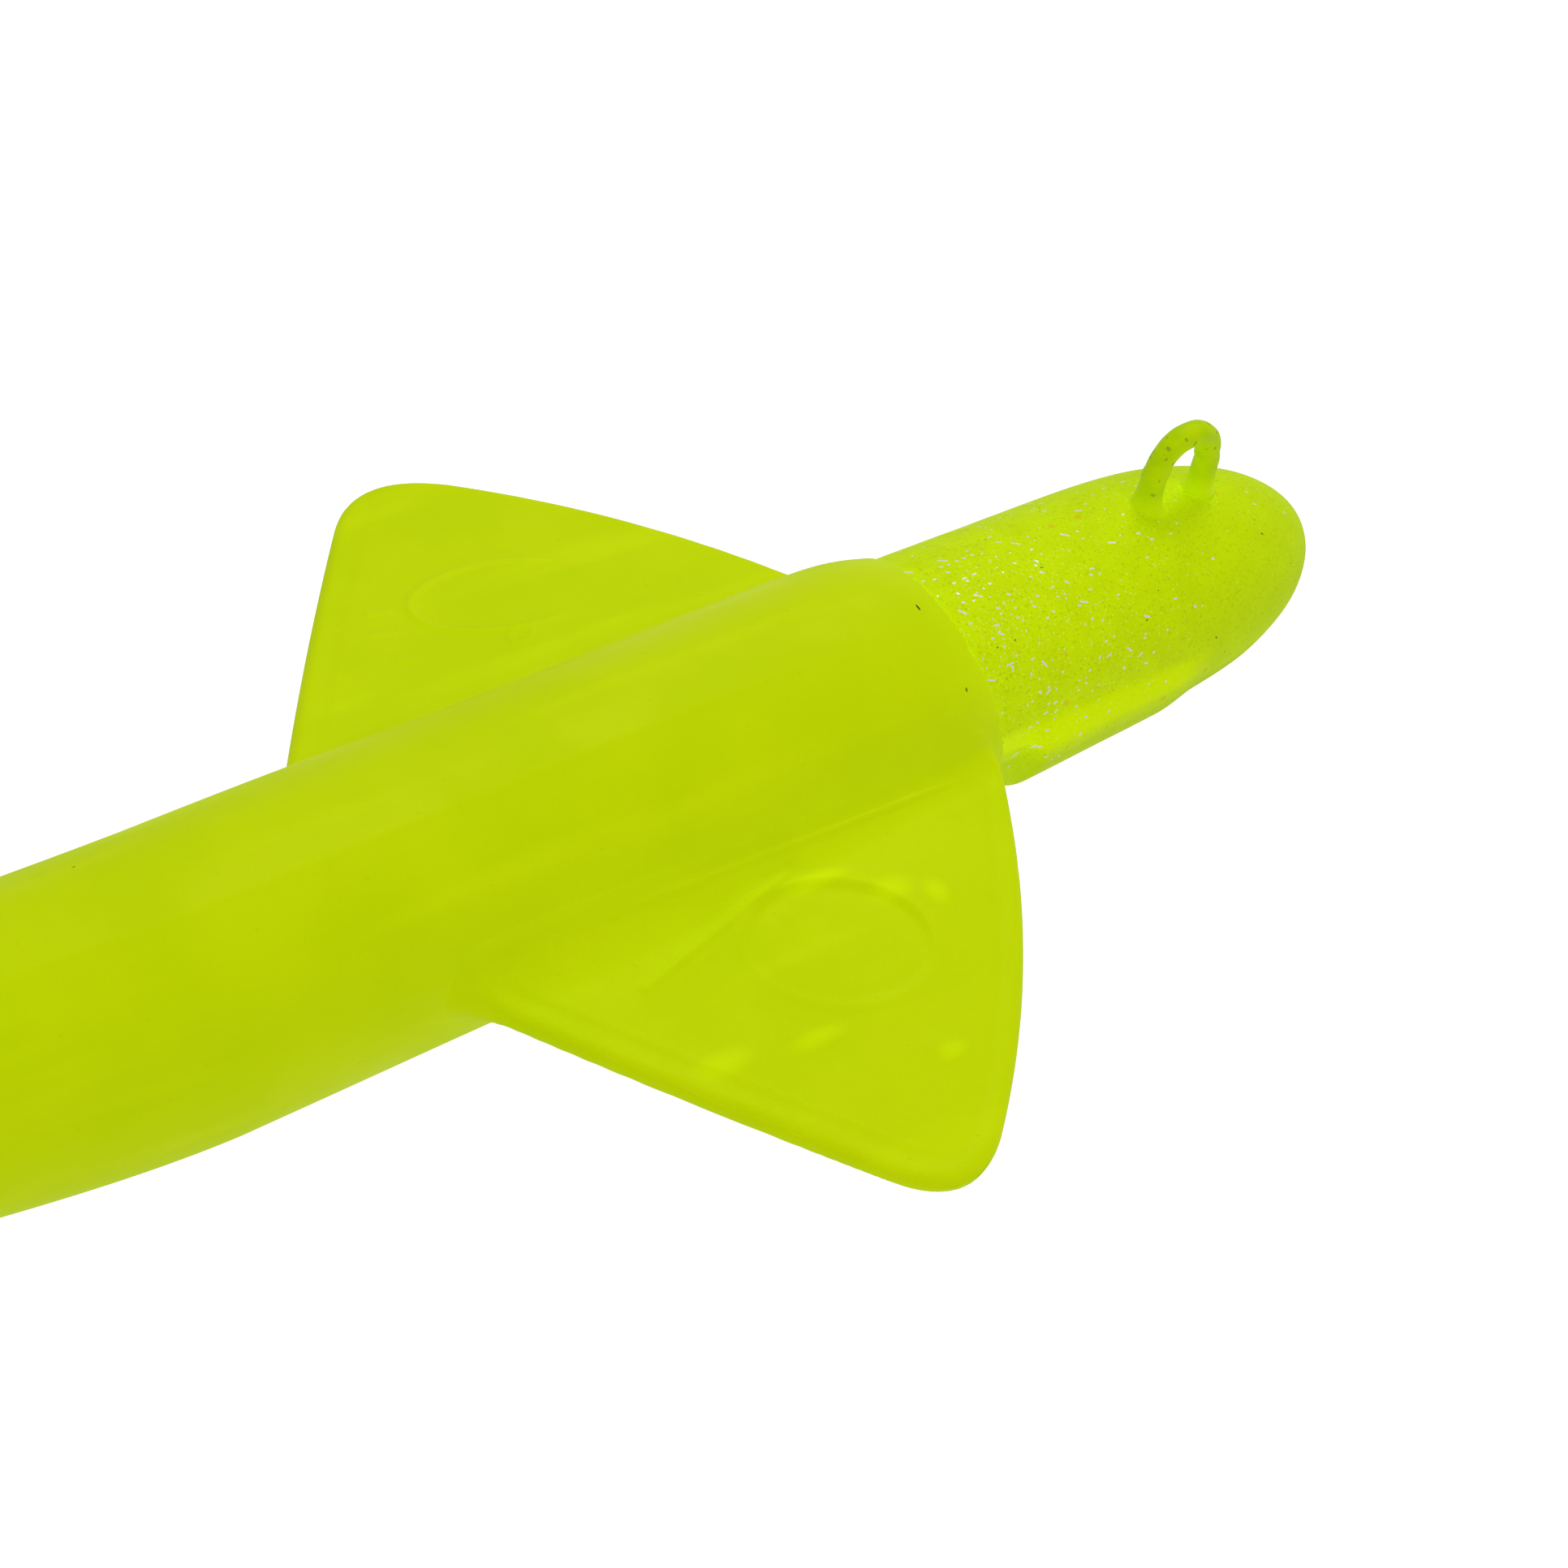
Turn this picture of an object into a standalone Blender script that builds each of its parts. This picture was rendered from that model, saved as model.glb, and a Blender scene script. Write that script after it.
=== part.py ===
"""A heavy squid jig: a cast lead head with its line tie, on a through-wire that runs down
inside a soft hollow squid body to a swivel and a trailing hook.

Every piece hangs from one empty on the head's axis, at the seam where the soft body starts.
From there +X runs to the nose, +Z to the line tie and +Y to the squid's left. The scene's own
origin is the middle of the head's flat belly.
"""

import math

import bmesh
import bpy
from mathutils import Matrix, Vector

# Driving dimensions, in metres
GAP = 0.0003
HEAD_RADIUS = 0.016
HEAD_STRAIGHT = 0.0292
HEAD_NOSE = 0.0365
NOSE_POWER = 2.21
BELLY_DEPTH = 0.0145
BELLY_MIDDLE_X = 0.025
SOCKET_DEPTH = 0.010
CHINE_DEPTH = 0.0027
CHINE_ANGLE = math.radians(-40)
CHINE_SPREAD = math.radians(15)
CHINE_START = 0.0040
CHINE_FULL = 0.0062
CHINE_END = 0.039
HEAD_SIDES = 40

STEM_RADIUS = 0.007
STEM_START = -0.008
STEM_END = -0.050
BARB_RADIUS = 0.0139
BARB_START = -0.018
BARB_PITCH = 0.010
BARB_COUNT = 3

WIRE_RADIUS = 0.0016
TIE_MIDDLE_X = 0.039
TIE_HALF_WIDTH = 0.0044
TIE_TOP = 0.026
TIE_LEG_BOTTOM = 0.003
TIE_LEG_TOP = 0.012
WIRE_BEND_RADIUS = 0.005
TAIL_EYE_X = -0.118
TAIL_EYE_RADIUS = 0.0042

RIM_TILT = math.radians(15)
MANTLE_RIM_RADIUS = 0.0182
MANTLE_RADIUS = 0.0190
MANTLE_BORE = 0.0146
MANTLE_FRONT = 0.0075
MANTLE_END = -0.165
HEAD_BORE = 0.0163

FIN_THICKNESS = 0.003
FIN_HINGE_Y = 0.0208
FIN_FRONT_X = -0.0026
FIN_REAR_X = -0.087
FIN_TIP = (-0.0451, 0.0492)
FIN_FRONT_BULGE = 0.0042
FIN_REAR_BULGE = 0.0006
FIN_CORNER_SHARE = 0.16
FIN_ROUND_SHARE = 0.46
RIGHT_FIN_DROOP = math.radians(12)
LEFT_FIN_DROOP = math.radians(3)

NECK_START = -0.148
NECK_RADIUS = 0.0142
NECK_BORE = 0.0105
CROWN_X = -0.190
CROWN_BORE = 0.0082
EYE_X = -0.176
EYE_RADIUS = 0.0052
EYE_SEAT_Y = 0.0135
EYE_SEAT_DEPTH = 0.008

ARM_RING_RADIUS = 0.0111
ARM_RADIUS = 0.0029
ARM_LENGTH = 0.085
TENTACLE_LENGTH = 0.105
ARM_COUNT = 10
TENTACLES = {2: "left_tentacle", 7: "right_tentacle"}
TOP_GAP = math.radians(60)
SIDE_SPREAD = 0.9
HEIGHT_SPREAD = 0.25
ARM_TAPER = 0.68
CLUB_PLACE = 0.86
CLUB_WIDTH = 0.09

SWIVEL_EYE_RADIUS = 0.0030
SWIVEL_WIRE = 0.0009
SWIVEL_STEM = 0.0018
BARREL_LENGTH = 0.009
BARREL_RADIUS = 0.0030
BARREL_BORE = 0.00125
BARREL_CHAMBER = 0.0022
BARREL_LIP = 0.0011
BARREL_END_RADIUS = 0.0019
KNOB_RADIUS = 0.0017
KNOB_LENGTH = 0.0025
KNOB_SLACK = 0.0004
SPLIT_RING_RADIUS = 0.0050
SPLIT_RING_WIRE = 0.0011
HOOK_EYE_RADIUS = 0.0036
HOOK_WIRE = 0.0017
HOOK_BEND_RADIUS = 0.014
HOOK_BEND_X = -0.226
HOOK_POINT_LEG = 0.023
BARB_LENGTH = 0.0062
BARB_BASE = 0.0013
BARB_SETBACK = 0.0098
BARB_TILT = math.radians(-118)

# Where each link of the chain sits: its wire rests a gap away from the wire it hangs on
FRONT_EYE_X = TAIL_EYE_X - TAIL_EYE_RADIUS + WIRE_RADIUS + GAP + SWIVEL_WIRE - SWIVEL_EYE_RADIUS
BARREL_FRONT_X = FRONT_EYE_X - SWIVEL_EYE_RADIUS - SWIVEL_STEM
BARREL_REAR_X = BARREL_FRONT_X - BARREL_LENGTH
REAR_EYE_X = BARREL_REAR_X - SWIVEL_EYE_RADIUS - SWIVEL_STEM
SPLIT_RING_FRONT_X = REAR_EYE_X - SWIVEL_EYE_RADIUS + SWIVEL_WIRE + GAP + SPLIT_RING_WIRE
SPLIT_RING_X = SPLIT_RING_FRONT_X - SPLIT_RING_RADIUS
SPLIT_RING_REAR_X = SPLIT_RING_X - SPLIT_RING_RADIUS
HOOK_EYE_X = SPLIT_RING_REAR_X + SPLIT_RING_WIRE + GAP + HOOK_WIRE - HOOK_EYE_RADIUS

CHARTREUSE = (0.50, 0.64, 0.004)
PAINTED = (0.48, 0.63, 0.006)
STEEL = (0.62, 0.63, 0.65)
BLACK_NICKEL = (0.09, 0.09, 0.10)
EYE_WHITE = (0.80, 0.80, 0.72)


def clear_scene():
    for old in list(bpy.data.objects):
        bpy.data.objects.remove(old)


def make_collection(name):
    made = bpy.data.collections.new(name)
    bpy.context.scene.collection.children.link(made)
    return made


clear_scene()
PARTS = make_collection("squid_jig")
CUTTERS = make_collection("cutters")
AXIS = bpy.data.objects.new("head_axis", None)
AXIS.location = (-BELLY_MIDDLE_X, 0, BELLY_DEPTH)
PARTS.objects.link(AXIS)


def finish(obj, colour, roughness, metallic=0.0):
    material = bpy.data.materials.new(obj.name)
    material.use_nodes = True
    shader = material.node_tree.nodes["Principled BSDF"]
    shader.inputs["Base Color"].default_value = (*colour, 1)
    shader.inputs["Roughness"].default_value = roughness
    shader.inputs["Metallic"].default_value = metallic
    obj.data.materials.clear()
    obj.data.materials.append(material)
    return obj


def add_object(name, data, collection=PARTS):
    obj = bpy.data.objects.new(name, data)
    collection.objects.link(obj)
    obj.parent = AXIS
    if collection == CUTTERS:
        obj.hide_render = True
        obj.display_type = "WIRE"
    return obj


def mesh_object(name, bm, collection=PARTS):
    bmesh.ops.recalc_face_normals(bm, faces=bm.faces)
    mesh = bpy.data.meshes.new(name)
    bm.to_mesh(mesh)
    bm.free()
    mesh.shade_smooth()
    mesh.set_sharp_from_angle(angle=math.radians(40))
    return add_object(name, mesh, collection)


def turned(name, profile, steps, closed=False, collection=PARTS):
    """A solid turned about the jig's own X axis. The profile is (x, radius), nose end first."""
    bm = bmesh.new()
    points = [bm.verts.new((radius, 0, x)) for x, radius in profile]
    for first, second in zip(points, points[1:]):
        bm.edges.new((first, second))
    if closed:
        bm.edges.new((points[-1], points[0]))
    mesh = bpy.data.meshes.new(name)
    bm.to_mesh(mesh)
    bm.free()
    obj = add_object(name, mesh, collection)
    obj.rotation_euler = (0, math.pi / 2, 0)
    screw = obj.modifiers.new("turn", "SCREW")
    screw.axis = "Z"
    screw.steps = steps
    screw.render_steps = steps
    screw.use_merge_vertices = True
    screw.merge_threshold = 0.00001
    screw.use_smooth_shade = True
    return obj


def round_bar(name, points, radius, shares=None, collection=PARTS):
    """A round bar along the points as a curve; shares are its radius at each point."""
    curve = bpy.data.curves.new(name, "CURVE")
    curve.dimensions = "3D"
    curve.bevel_depth = radius
    curve.bevel_resolution = 2
    curve.use_fill_caps = True
    spline = curve.splines.new("POLY")
    spline.points.add(len(points) - 1)
    for index, (target, point) in enumerate(zip(spline.points, points)):
        target.co = (*point, 1)
        target.radius = shares[index] if shares else 1
    return add_object(name, curve, collection)


def as_mesh(bar):
    """The round bar as a closed mesh object of the same name, so that it can be cut or joined."""
    bpy.context.view_layer.update()
    graph = bpy.context.evaluated_depsgraph_get()
    mesh = bpy.data.meshes.new_from_object(bar.evaluated_get(graph))
    bm = bmesh.new()
    bm.from_mesh(mesh)
    bmesh.ops.remove_doubles(bm, verts=bm.verts, dist=0.000005)
    bm.to_mesh(mesh)
    bm.free()
    name = bar.name
    collection = bar.users_collection[0]
    matrix = bar.matrix_world.copy()
    bpy.data.objects.remove(bar)
    made = add_object(name, mesh, collection)
    made.matrix_world = matrix
    return made


def boolean(obj, other, operation):
    change = obj.modifiers.new(other.name, "BOOLEAN")
    change.operation = operation
    change.object = other


def ring(name, centre_x, radius, wire, flat, collection=PARTS):
    """A wire ring on the jig's axis, lying flat, or standing upright along the jig."""
    bpy.ops.mesh.primitive_torus_add(
        major_radius=radius, minor_radius=wire, major_segments=24, minor_segments=8
    )
    obj = bpy.context.active_object
    obj.data.transform(Matrix.Rotation(0 if flat else math.pi / 2, 4, "X"))
    mesh = obj.data
    mesh.shade_smooth()
    bpy.data.objects.remove(obj)
    made = add_object(name, mesh, collection)
    made.location = (centre_x, 0, 0)
    return made


def arc(centre, radius, start, end, steps):
    """Points of a circle in the upright plane along the jig, angles from +X towards +Z."""
    angles = [start + (end - start) * step / steps for step in range(steps + 1)]
    return [
        Vector((centre[0] + radius * math.cos(a), 0, centre[1] + radius * math.sin(a)))
        for a in angles
    ]


# Lead head ---------------------------------------------------------------------------------

def head_radius(x):
    if x <= HEAD_STRAIGHT:
        return HEAD_RADIUS
    share = min(1, (x - HEAD_STRAIGHT) / HEAD_NOSE)
    return HEAD_RADIUS * math.sqrt(1 - share**NOSE_POWER)


def ramp(value, low, high):
    share = min(1, max(0, (value - low) / (high - low)))
    return share * share * (3 - 2 * share)


def head_section(x):
    """One ring of the head: round on top, with a chine flaring over a flat belly."""
    shaped = ramp(x, CHINE_START, CHINE_FULL)
    flare = CHINE_DEPTH * shaped * (1 - ramp(x, CHINE_FULL, CHINE_END))
    floor = -HEAD_RADIUS + (HEAD_RADIUS - BELLY_DEPTH) * shaped
    points = []
    for side in range(HEAD_SIDES):
        angle = 2 * math.pi * side / HEAD_SIDES
        folded = math.atan2(math.sin(angle), abs(math.cos(angle)))
        lobe = math.exp(-(((folded - CHINE_ANGLE) / CHINE_SPREAD) ** 2))
        radius = head_radius(x) + flare * lobe
        points.append(Vector((x, radius * math.cos(angle), max(floor, radius * math.sin(angle)))))
    return points


def head_body():
    """The cast body, lofted through its rings from the socket face to the nose."""
    straight = [-SOCKET_DEPTH, -0.003, CHINE_START, 0.0050, CHINE_FULL, 0.010, 0.016, 0.022]
    shares = [0, 0.12, 0.24, 0.36, 0.48, 0.59, 0.69, 0.78, 0.85, 0.91, 0.95, 0.98, 0.995]
    stations = straight + [HEAD_STRAIGHT + HEAD_NOSE * share for share in shares]
    bm = bmesh.new()
    rings = [[bm.verts.new(point) for point in head_section(x)] for x in stations]
    for rear, front in zip(rings, rings[1:]):
        for side in range(HEAD_SIDES):
            after = (side + 1) % HEAD_SIDES
            bm.faces.new((rear[side], rear[after], front[after], front[side]))
    bm.faces.new(rings[0])
    tip = bm.verts.new((HEAD_STRAIGHT + HEAD_NOSE, 0, 0))
    for side in range(HEAD_SIDES):
        bm.faces.new((rings[-1][side], rings[-1][(side + 1) % HEAD_SIDES], tip))
    return mesh_object("lead_head", bm)


def keeper_stem():
    """The stem cast behind the head, with saw-tooth barbs that hold the soft body."""
    edge = 0.0005
    valley_radius = STEM_RADIUS + 0.0015
    profile = [(STEM_START, 0), (STEM_START, STEM_RADIUS), (BARB_START, STEM_RADIUS)]
    for barb in range(BARB_COUNT):
        front = BARB_START - barb * BARB_PITCH
        profile.append((front - edge, BARB_RADIUS))
        profile.append((front - BARB_PITCH + edge, valley_radius))
    profile.append((STEM_END, STEM_RADIUS))
    profile.append((STEM_END, 0))
    return turned("keeper_stem", profile, 28, collection=CUTTERS)


def wire_path(leg_bottom):
    """Front leg, line tie, rear leg, bend, straight run down the body, and the tail eye."""
    tie_arc_z = TIE_TOP - TIE_HALF_WIDTH
    front_x = TIE_MIDDLE_X + TIE_HALF_WIDTH
    rear_x = TIE_MIDDLE_X - TIE_HALF_WIDTH
    bend = (rear_x - WIRE_BEND_RADIUS, WIRE_BEND_RADIUS)
    path = [Vector((front_x, 0, leg_bottom)), Vector((front_x, 0, TIE_LEG_TOP))]
    path += arc((TIE_MIDDLE_X, tie_arc_z), TIE_HALF_WIDTH, 0, math.pi, 12)
    path += [Vector((rear_x, 0, TIE_LEG_TOP))]
    path += arc(bend, WIRE_BEND_RADIUS, 0, -math.pi / 2, 6)
    path += [Vector((x, 0, 0)) for x in (-0.030, -0.070, TAIL_EYE_X + 0.010)]
    path += [Vector((TAIL_EYE_X + 0.0065, 0, -0.0010)), Vector((TAIL_EYE_X + 0.0035, 0, -0.0033))]
    path += arc((TAIL_EYE_X, 0), TAIL_EYE_RADIUS, -math.pi / 2, -math.radians(325), 16)
    return path


def make_lead_head():
    head = head_body()
    boolean(head, keeper_stem(), "UNION")
    path = wire_path(TIE_LEG_BOTTOM - GAP)
    channel = as_mesh(round_bar("wire_channel", path, WIRE_RADIUS + GAP, collection=CUTTERS))
    boolean(head, channel, "DIFFERENCE")
    finish(head, PAINTED, 0.5)


def make_through_wire():
    finish(round_bar("through_wire", wire_path(TIE_LEG_BOTTOM), WIRE_RADIUS), PAINTED, 0.5)


# Soft body ---------------------------------------------------------------------------------

def make_mantle():
    """The hollow mantle: a socket over the head, then a barrel that narrows to its rear lip."""
    outer = [
        (MANTLE_FRONT, MANTLE_RIM_RADIUS),
        (0, MANTLE_RIM_RADIUS),
        (-0.060, 0.0186),
        (-0.113, MANTLE_RADIUS),
        (-0.140, 0.0183),
        (-0.156, 0.0171),
        (MANTLE_END, 0.0158),
    ]
    inner = [
        (MANTLE_END, MANTLE_BORE),
        (-SOCKET_DEPTH - GAP, MANTLE_BORE),
        (-SOCKET_DEPTH - GAP, HEAD_BORE),
        (MANTLE_FRONT, HEAD_BORE),
    ]
    mantle = turned("mantle", outer + inner, 40, closed=True)
    trim_size = 0.08
    bpy.ops.mesh.primitive_cube_add(size=trim_size)
    cube = bpy.context.active_object
    mesh = cube.data
    bpy.data.objects.remove(cube)
    trim = add_object("rim_trim", mesh, CUTTERS)
    trim.rotation_euler = (0, -RIM_TILT, 0)
    trim.location = Vector((math.cos(RIM_TILT), 0, math.sin(RIM_TILT))) * trim_size / 2
    boolean(mantle, trim, "DIFFERENCE")
    finish(mantle, CHARTREUSE, 0.4)


def quadratic(start, control, end, first, last, steps):
    points = []
    for step in range(steps + 1):
        t = first + (last - first) * step / steps
        points.append(start * (1 - t) ** 2 + control * 2 * t * (1 - t) + end * t**2)
    return points


def fin_outline():
    """A rhomb from its root line: a bulging front edge, a round tip and a straight rear edge."""
    root_y = -FIN_THICKNESS / 2
    front = Vector((FIN_FRONT_X, root_y))
    rear = Vector((FIN_REAR_X, root_y))
    tip = Vector(FIN_TIP)
    front_way = (tip - front).normalized()
    rear_way = (rear - tip).normalized()
    front_control = (front + tip) / 2 + Vector((front_way.y, -front_way.x)) * 2 * FIN_FRONT_BULGE
    rear_control = (rear + tip) / 2 + Vector((rear_way.y, -rear_way.x)) * 2 * FIN_REAR_BULGE
    front_edge = quadratic(front, front_control, tip, 0, 1 - FIN_CORNER_SHARE, 12)
    rear_edge = quadratic(tip, rear_control, rear, FIN_CORNER_SHARE, 1, 8)
    corner = quadratic(front_edge[-1], tip, rear_edge[0], 0, 1, 8)
    return front_edge + corner[1:-1] + rear_edge


def make_fin(name, side, droop):
    """One fin, its root rounded about the line it flexes on. Its origin is on that line."""
    bm = bmesh.new()
    outline = [bm.verts.new((p.x, side * p.y, -FIN_THICKNESS / 2)) for p in fin_outline()]
    face = bm.faces.new(outline)
    grown = bmesh.ops.extrude_face_region(bm, geom=[face])
    top = [item for item in grown["geom"] if isinstance(item, bmesh.types.BMVert)]
    bmesh.ops.translate(bm, verts=top, vec=(0, 0, FIN_THICKNESS))
    fin = mesh_object(name, bm)
    fin.location = (0, side * FIN_HINGE_Y, 0)
    fin.rotation_euler = (-side * droop, 0, 0)
    rounding = fin.modifiers.new("soft_edge", "BEVEL")
    rounding.width = FIN_THICKNESS * FIN_ROUND_SHARE
    rounding.segments = 3
    rounding.limit_method = "ANGLE"
    rounding.angle_limit = math.radians(50)
    finish(fin, CHARTREUSE, 0.4)


def make_squid_head():
    """The squid's own head: a neck in the mantle's mouth, the swell that holds the eyes."""
    outer = [
        (NECK_START, NECK_RADIUS),
        (-0.1654, NECK_RADIUS),
        (-0.1690, 0.0153),
        (EYE_X, 0.0160),
        (-0.1840, 0.0151),
        (CROWN_X, 0.0140),
    ]
    inner = [
        (CROWN_X, CROWN_BORE),
        (-0.184, CROWN_BORE),
        (-0.182, NECK_BORE),
        (NECK_START, NECK_BORE),
    ]
    head = turned("squid_head", outer + inner, 32, closed=True)
    for side, name in ((1, "left_eye_seat"), (-1, "right_eye_seat")):
        bpy.ops.mesh.primitive_cylinder_add(
            vertices=24, radius=EYE_RADIUS + GAP, depth=EYE_SEAT_DEPTH
        )
        seat = bpy.context.active_object
        mesh = seat.data
        bpy.data.objects.remove(seat)
        cutter = add_object(name, mesh, CUTTERS)
        cutter.rotation_euler = (math.pi / 2, 0, 0)
        cutter.location = (EYE_X, side * (EYE_SEAT_Y - GAP + EYE_SEAT_DEPTH / 2), 0)
        boolean(head, cutter, "DIFFERENCE")
    finish(head, CHARTREUSE, 0.4)


def make_eye(name, side):
    """A domed eye with a flat back, standing on its seat."""
    dome = [(0.0042, 0), (0.0040, 0.0016), (0.0032, 0.0034), (0.0018, 0.0047), (0.0006, EYE_RADIUS)]
    eye = turned(name, dome + [(0, EYE_RADIUS), (0, 0)], 24)
    eye.rotation_euler = (-side * math.pi / 2, 0, 0)
    eye.location = (EYE_X, side * EYE_SEAT_Y, 0)
    finish(eye, EYE_WHITE, 0.1)


def arm_angle(index):
    """Where arm or tentacle number index stands on the crown, from +Y towards +Z."""
    step = (2 * math.pi - TOP_GAP) / (ARM_COUNT - 1)
    return math.pi / 2 - TOP_GAP / 2 - index * step


def make_arm(name, index, length, club):
    """A tapering arm with a ball root on its flex axis, spreading sideways as it trails."""
    angle = arm_angle(index)
    ball = [(math.cos(a), math.sin(a)) for a in (math.radians(d) for d in (3, 32, 62))]
    points = [Vector((ARM_RADIUS * along, 0, 0)) for along, _ in ball]
    shares = [max(0.06, across) for _, across in ball]
    steps = 10
    for step in range(steps + 1):
        t = step / steps
        y = ARM_RING_RADIUS * math.cos(angle) * SIDE_SPREAD * t
        z = ARM_RING_RADIUS * math.sin(angle) * HEIGHT_SPREAD * t
        points.append(Vector((-length * t, y, z)))
        swell = club * math.exp(-(((t - CLUB_PLACE) / CLUB_WIDTH) ** 2))
        shares.append((1 - ARM_TAPER * t) * (1 - 0.45 * club) + 0.55 * swell)
    arm = round_bar(name, points, ARM_RADIUS, shares)
    arm.location = (
        CROWN_X - ARM_RADIUS - GAP,
        ARM_RING_RADIUS * math.cos(angle),
        ARM_RING_RADIUS * math.sin(angle),
    )
    finish(arm, CHARTREUSE, 0.4)


def make_arms():
    arm_number = 0
    for index in range(ARM_COUNT):
        if index in TENTACLES:
            make_arm(TENTACLES[index], index, TENTACLE_LENGTH, 1)
        else:
            arm_number += 1
            make_arm(f"arm_{arm_number}", index, ARM_LENGTH, 0)


# Swivel, split ring and hook ---------------------------------------------------------------

def make_swivel_eye(name, eye_x, barrel_end, inward, flat):
    """An eye, its stem and the knob that turns inside the barrel, inward along X."""
    eye = ring(name, eye_x, SWIVEL_EYE_RADIUS, SWIVEL_WIRE, flat)
    start = eye_x + inward * SWIVEL_EYE_RADIUS
    knob_front = barrel_end + inward * (BARREL_LIP + KNOB_SLACK)
    profile = [
        (start, 0),
        (start, SWIVEL_WIRE),
        (knob_front, SWIVEL_WIRE),
        (knob_front, KNOB_RADIUS),
        (knob_front + inward * KNOB_LENGTH, KNOB_RADIUS),
        (knob_front + inward * KNOB_LENGTH, 0),
    ]
    if inward > 0:
        profile.reverse()
    stem = turned(name + "_stem", profile, 16, collection=CUTTERS)
    boolean(eye, stem, "UNION")
    finish(eye, STEEL, 0.3, 1.0)


def make_barrel():
    """The swivel's barrel: a narrow bore at each end of a chamber that holds the two knobs."""
    swell = 0.0016
    outer = [
        (BARREL_FRONT_X, BARREL_END_RADIUS),
        (BARREL_FRONT_X - swell, BARREL_RADIUS),
        (BARREL_REAR_X + swell, BARREL_RADIUS),
        (BARREL_REAR_X, BARREL_END_RADIUS),
    ]
    inner = [
        (BARREL_REAR_X, BARREL_BORE),
        (BARREL_REAR_X + BARREL_LIP, BARREL_BORE),
        (BARREL_REAR_X + BARREL_LIP, BARREL_CHAMBER),
        (BARREL_FRONT_X - BARREL_LIP, BARREL_CHAMBER),
        (BARREL_FRONT_X - BARREL_LIP, BARREL_BORE),
        (BARREL_FRONT_X, BARREL_BORE),
    ]
    barrel = turned("swivel_barrel", outer + inner, 24, closed=True)
    finish(barrel, STEEL, 0.3, 1.0)


def make_hook():
    """A J hook: eye, straight shank, round bend and a barbed point that stands up."""
    shank_start = HOOK_EYE_X - HOOK_EYE_RADIUS
    path = [Vector((shank_start + 0.0004, 0, 0)), Vector((HOOK_BEND_X + 0.030, 0, 0))]
    path += arc(
        (HOOK_BEND_X, HOOK_BEND_RADIUS), HOOK_BEND_RADIUS, -math.pi / 2, -math.pi * 3 / 2, 18
    )
    shares = [1] * len(path)
    tip_x = HOOK_BEND_X + HOOK_POINT_LEG
    top = 2 * HOOK_BEND_RADIUS
    for share, drop in ((0.45, 0.0), (0.72, 0.0002), (1.0, 0.0006)):
        path.append(Vector((HOOK_BEND_X + HOOK_POINT_LEG * share, 0, top - drop)))
    shares += [1, 0.8, 0.06]
    shank = as_mesh(round_bar("hook_bar", path, HOOK_WIRE, shares, CUTTERS))
    hook = ring("hook", HOOK_EYE_X, HOOK_EYE_RADIUS, HOOK_WIRE, False)
    boolean(hook, shank, "UNION")
    bpy.ops.mesh.primitive_cone_add(
        vertices=8, radius1=BARB_BASE, radius2=0.0001, depth=BARB_LENGTH
    )
    cone = bpy.context.active_object
    mesh = cone.data
    bpy.data.objects.remove(cone)
    barb = add_object("hook_barb", mesh, CUTTERS)
    barb.rotation_euler = (0, BARB_TILT, 0)
    barb.location = (tip_x - BARB_SETBACK, 0, top - BARB_LENGTH * 0.31)
    boolean(hook, barb, "UNION")
    finish(hook, BLACK_NICKEL, 0.25, 1.0)


make_lead_head()
make_through_wire()
make_mantle()
make_fin("left_fin", 1, LEFT_FIN_DROOP)
make_fin("right_fin", -1, RIGHT_FIN_DROOP)
make_squid_head()
make_eye("left_eye", 1)
make_eye("right_eye", -1)
make_arms()
make_swivel_eye("swivel_front_eye", FRONT_EYE_X, BARREL_FRONT_X, -1, True)
make_swivel_eye("swivel_rear_eye", REAR_EYE_X, BARREL_REAR_X, 1, False)
make_barrel()
finish(ring("split_ring", SPLIT_RING_X, SPLIT_RING_RADIUS, SPLIT_RING_WIRE, True), STEEL, 0.3, 1.0)
make_hook()
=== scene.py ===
import math

import bmesh
import bpy
import numpy as np
from mathutils import Matrix, Vector, noise


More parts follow.
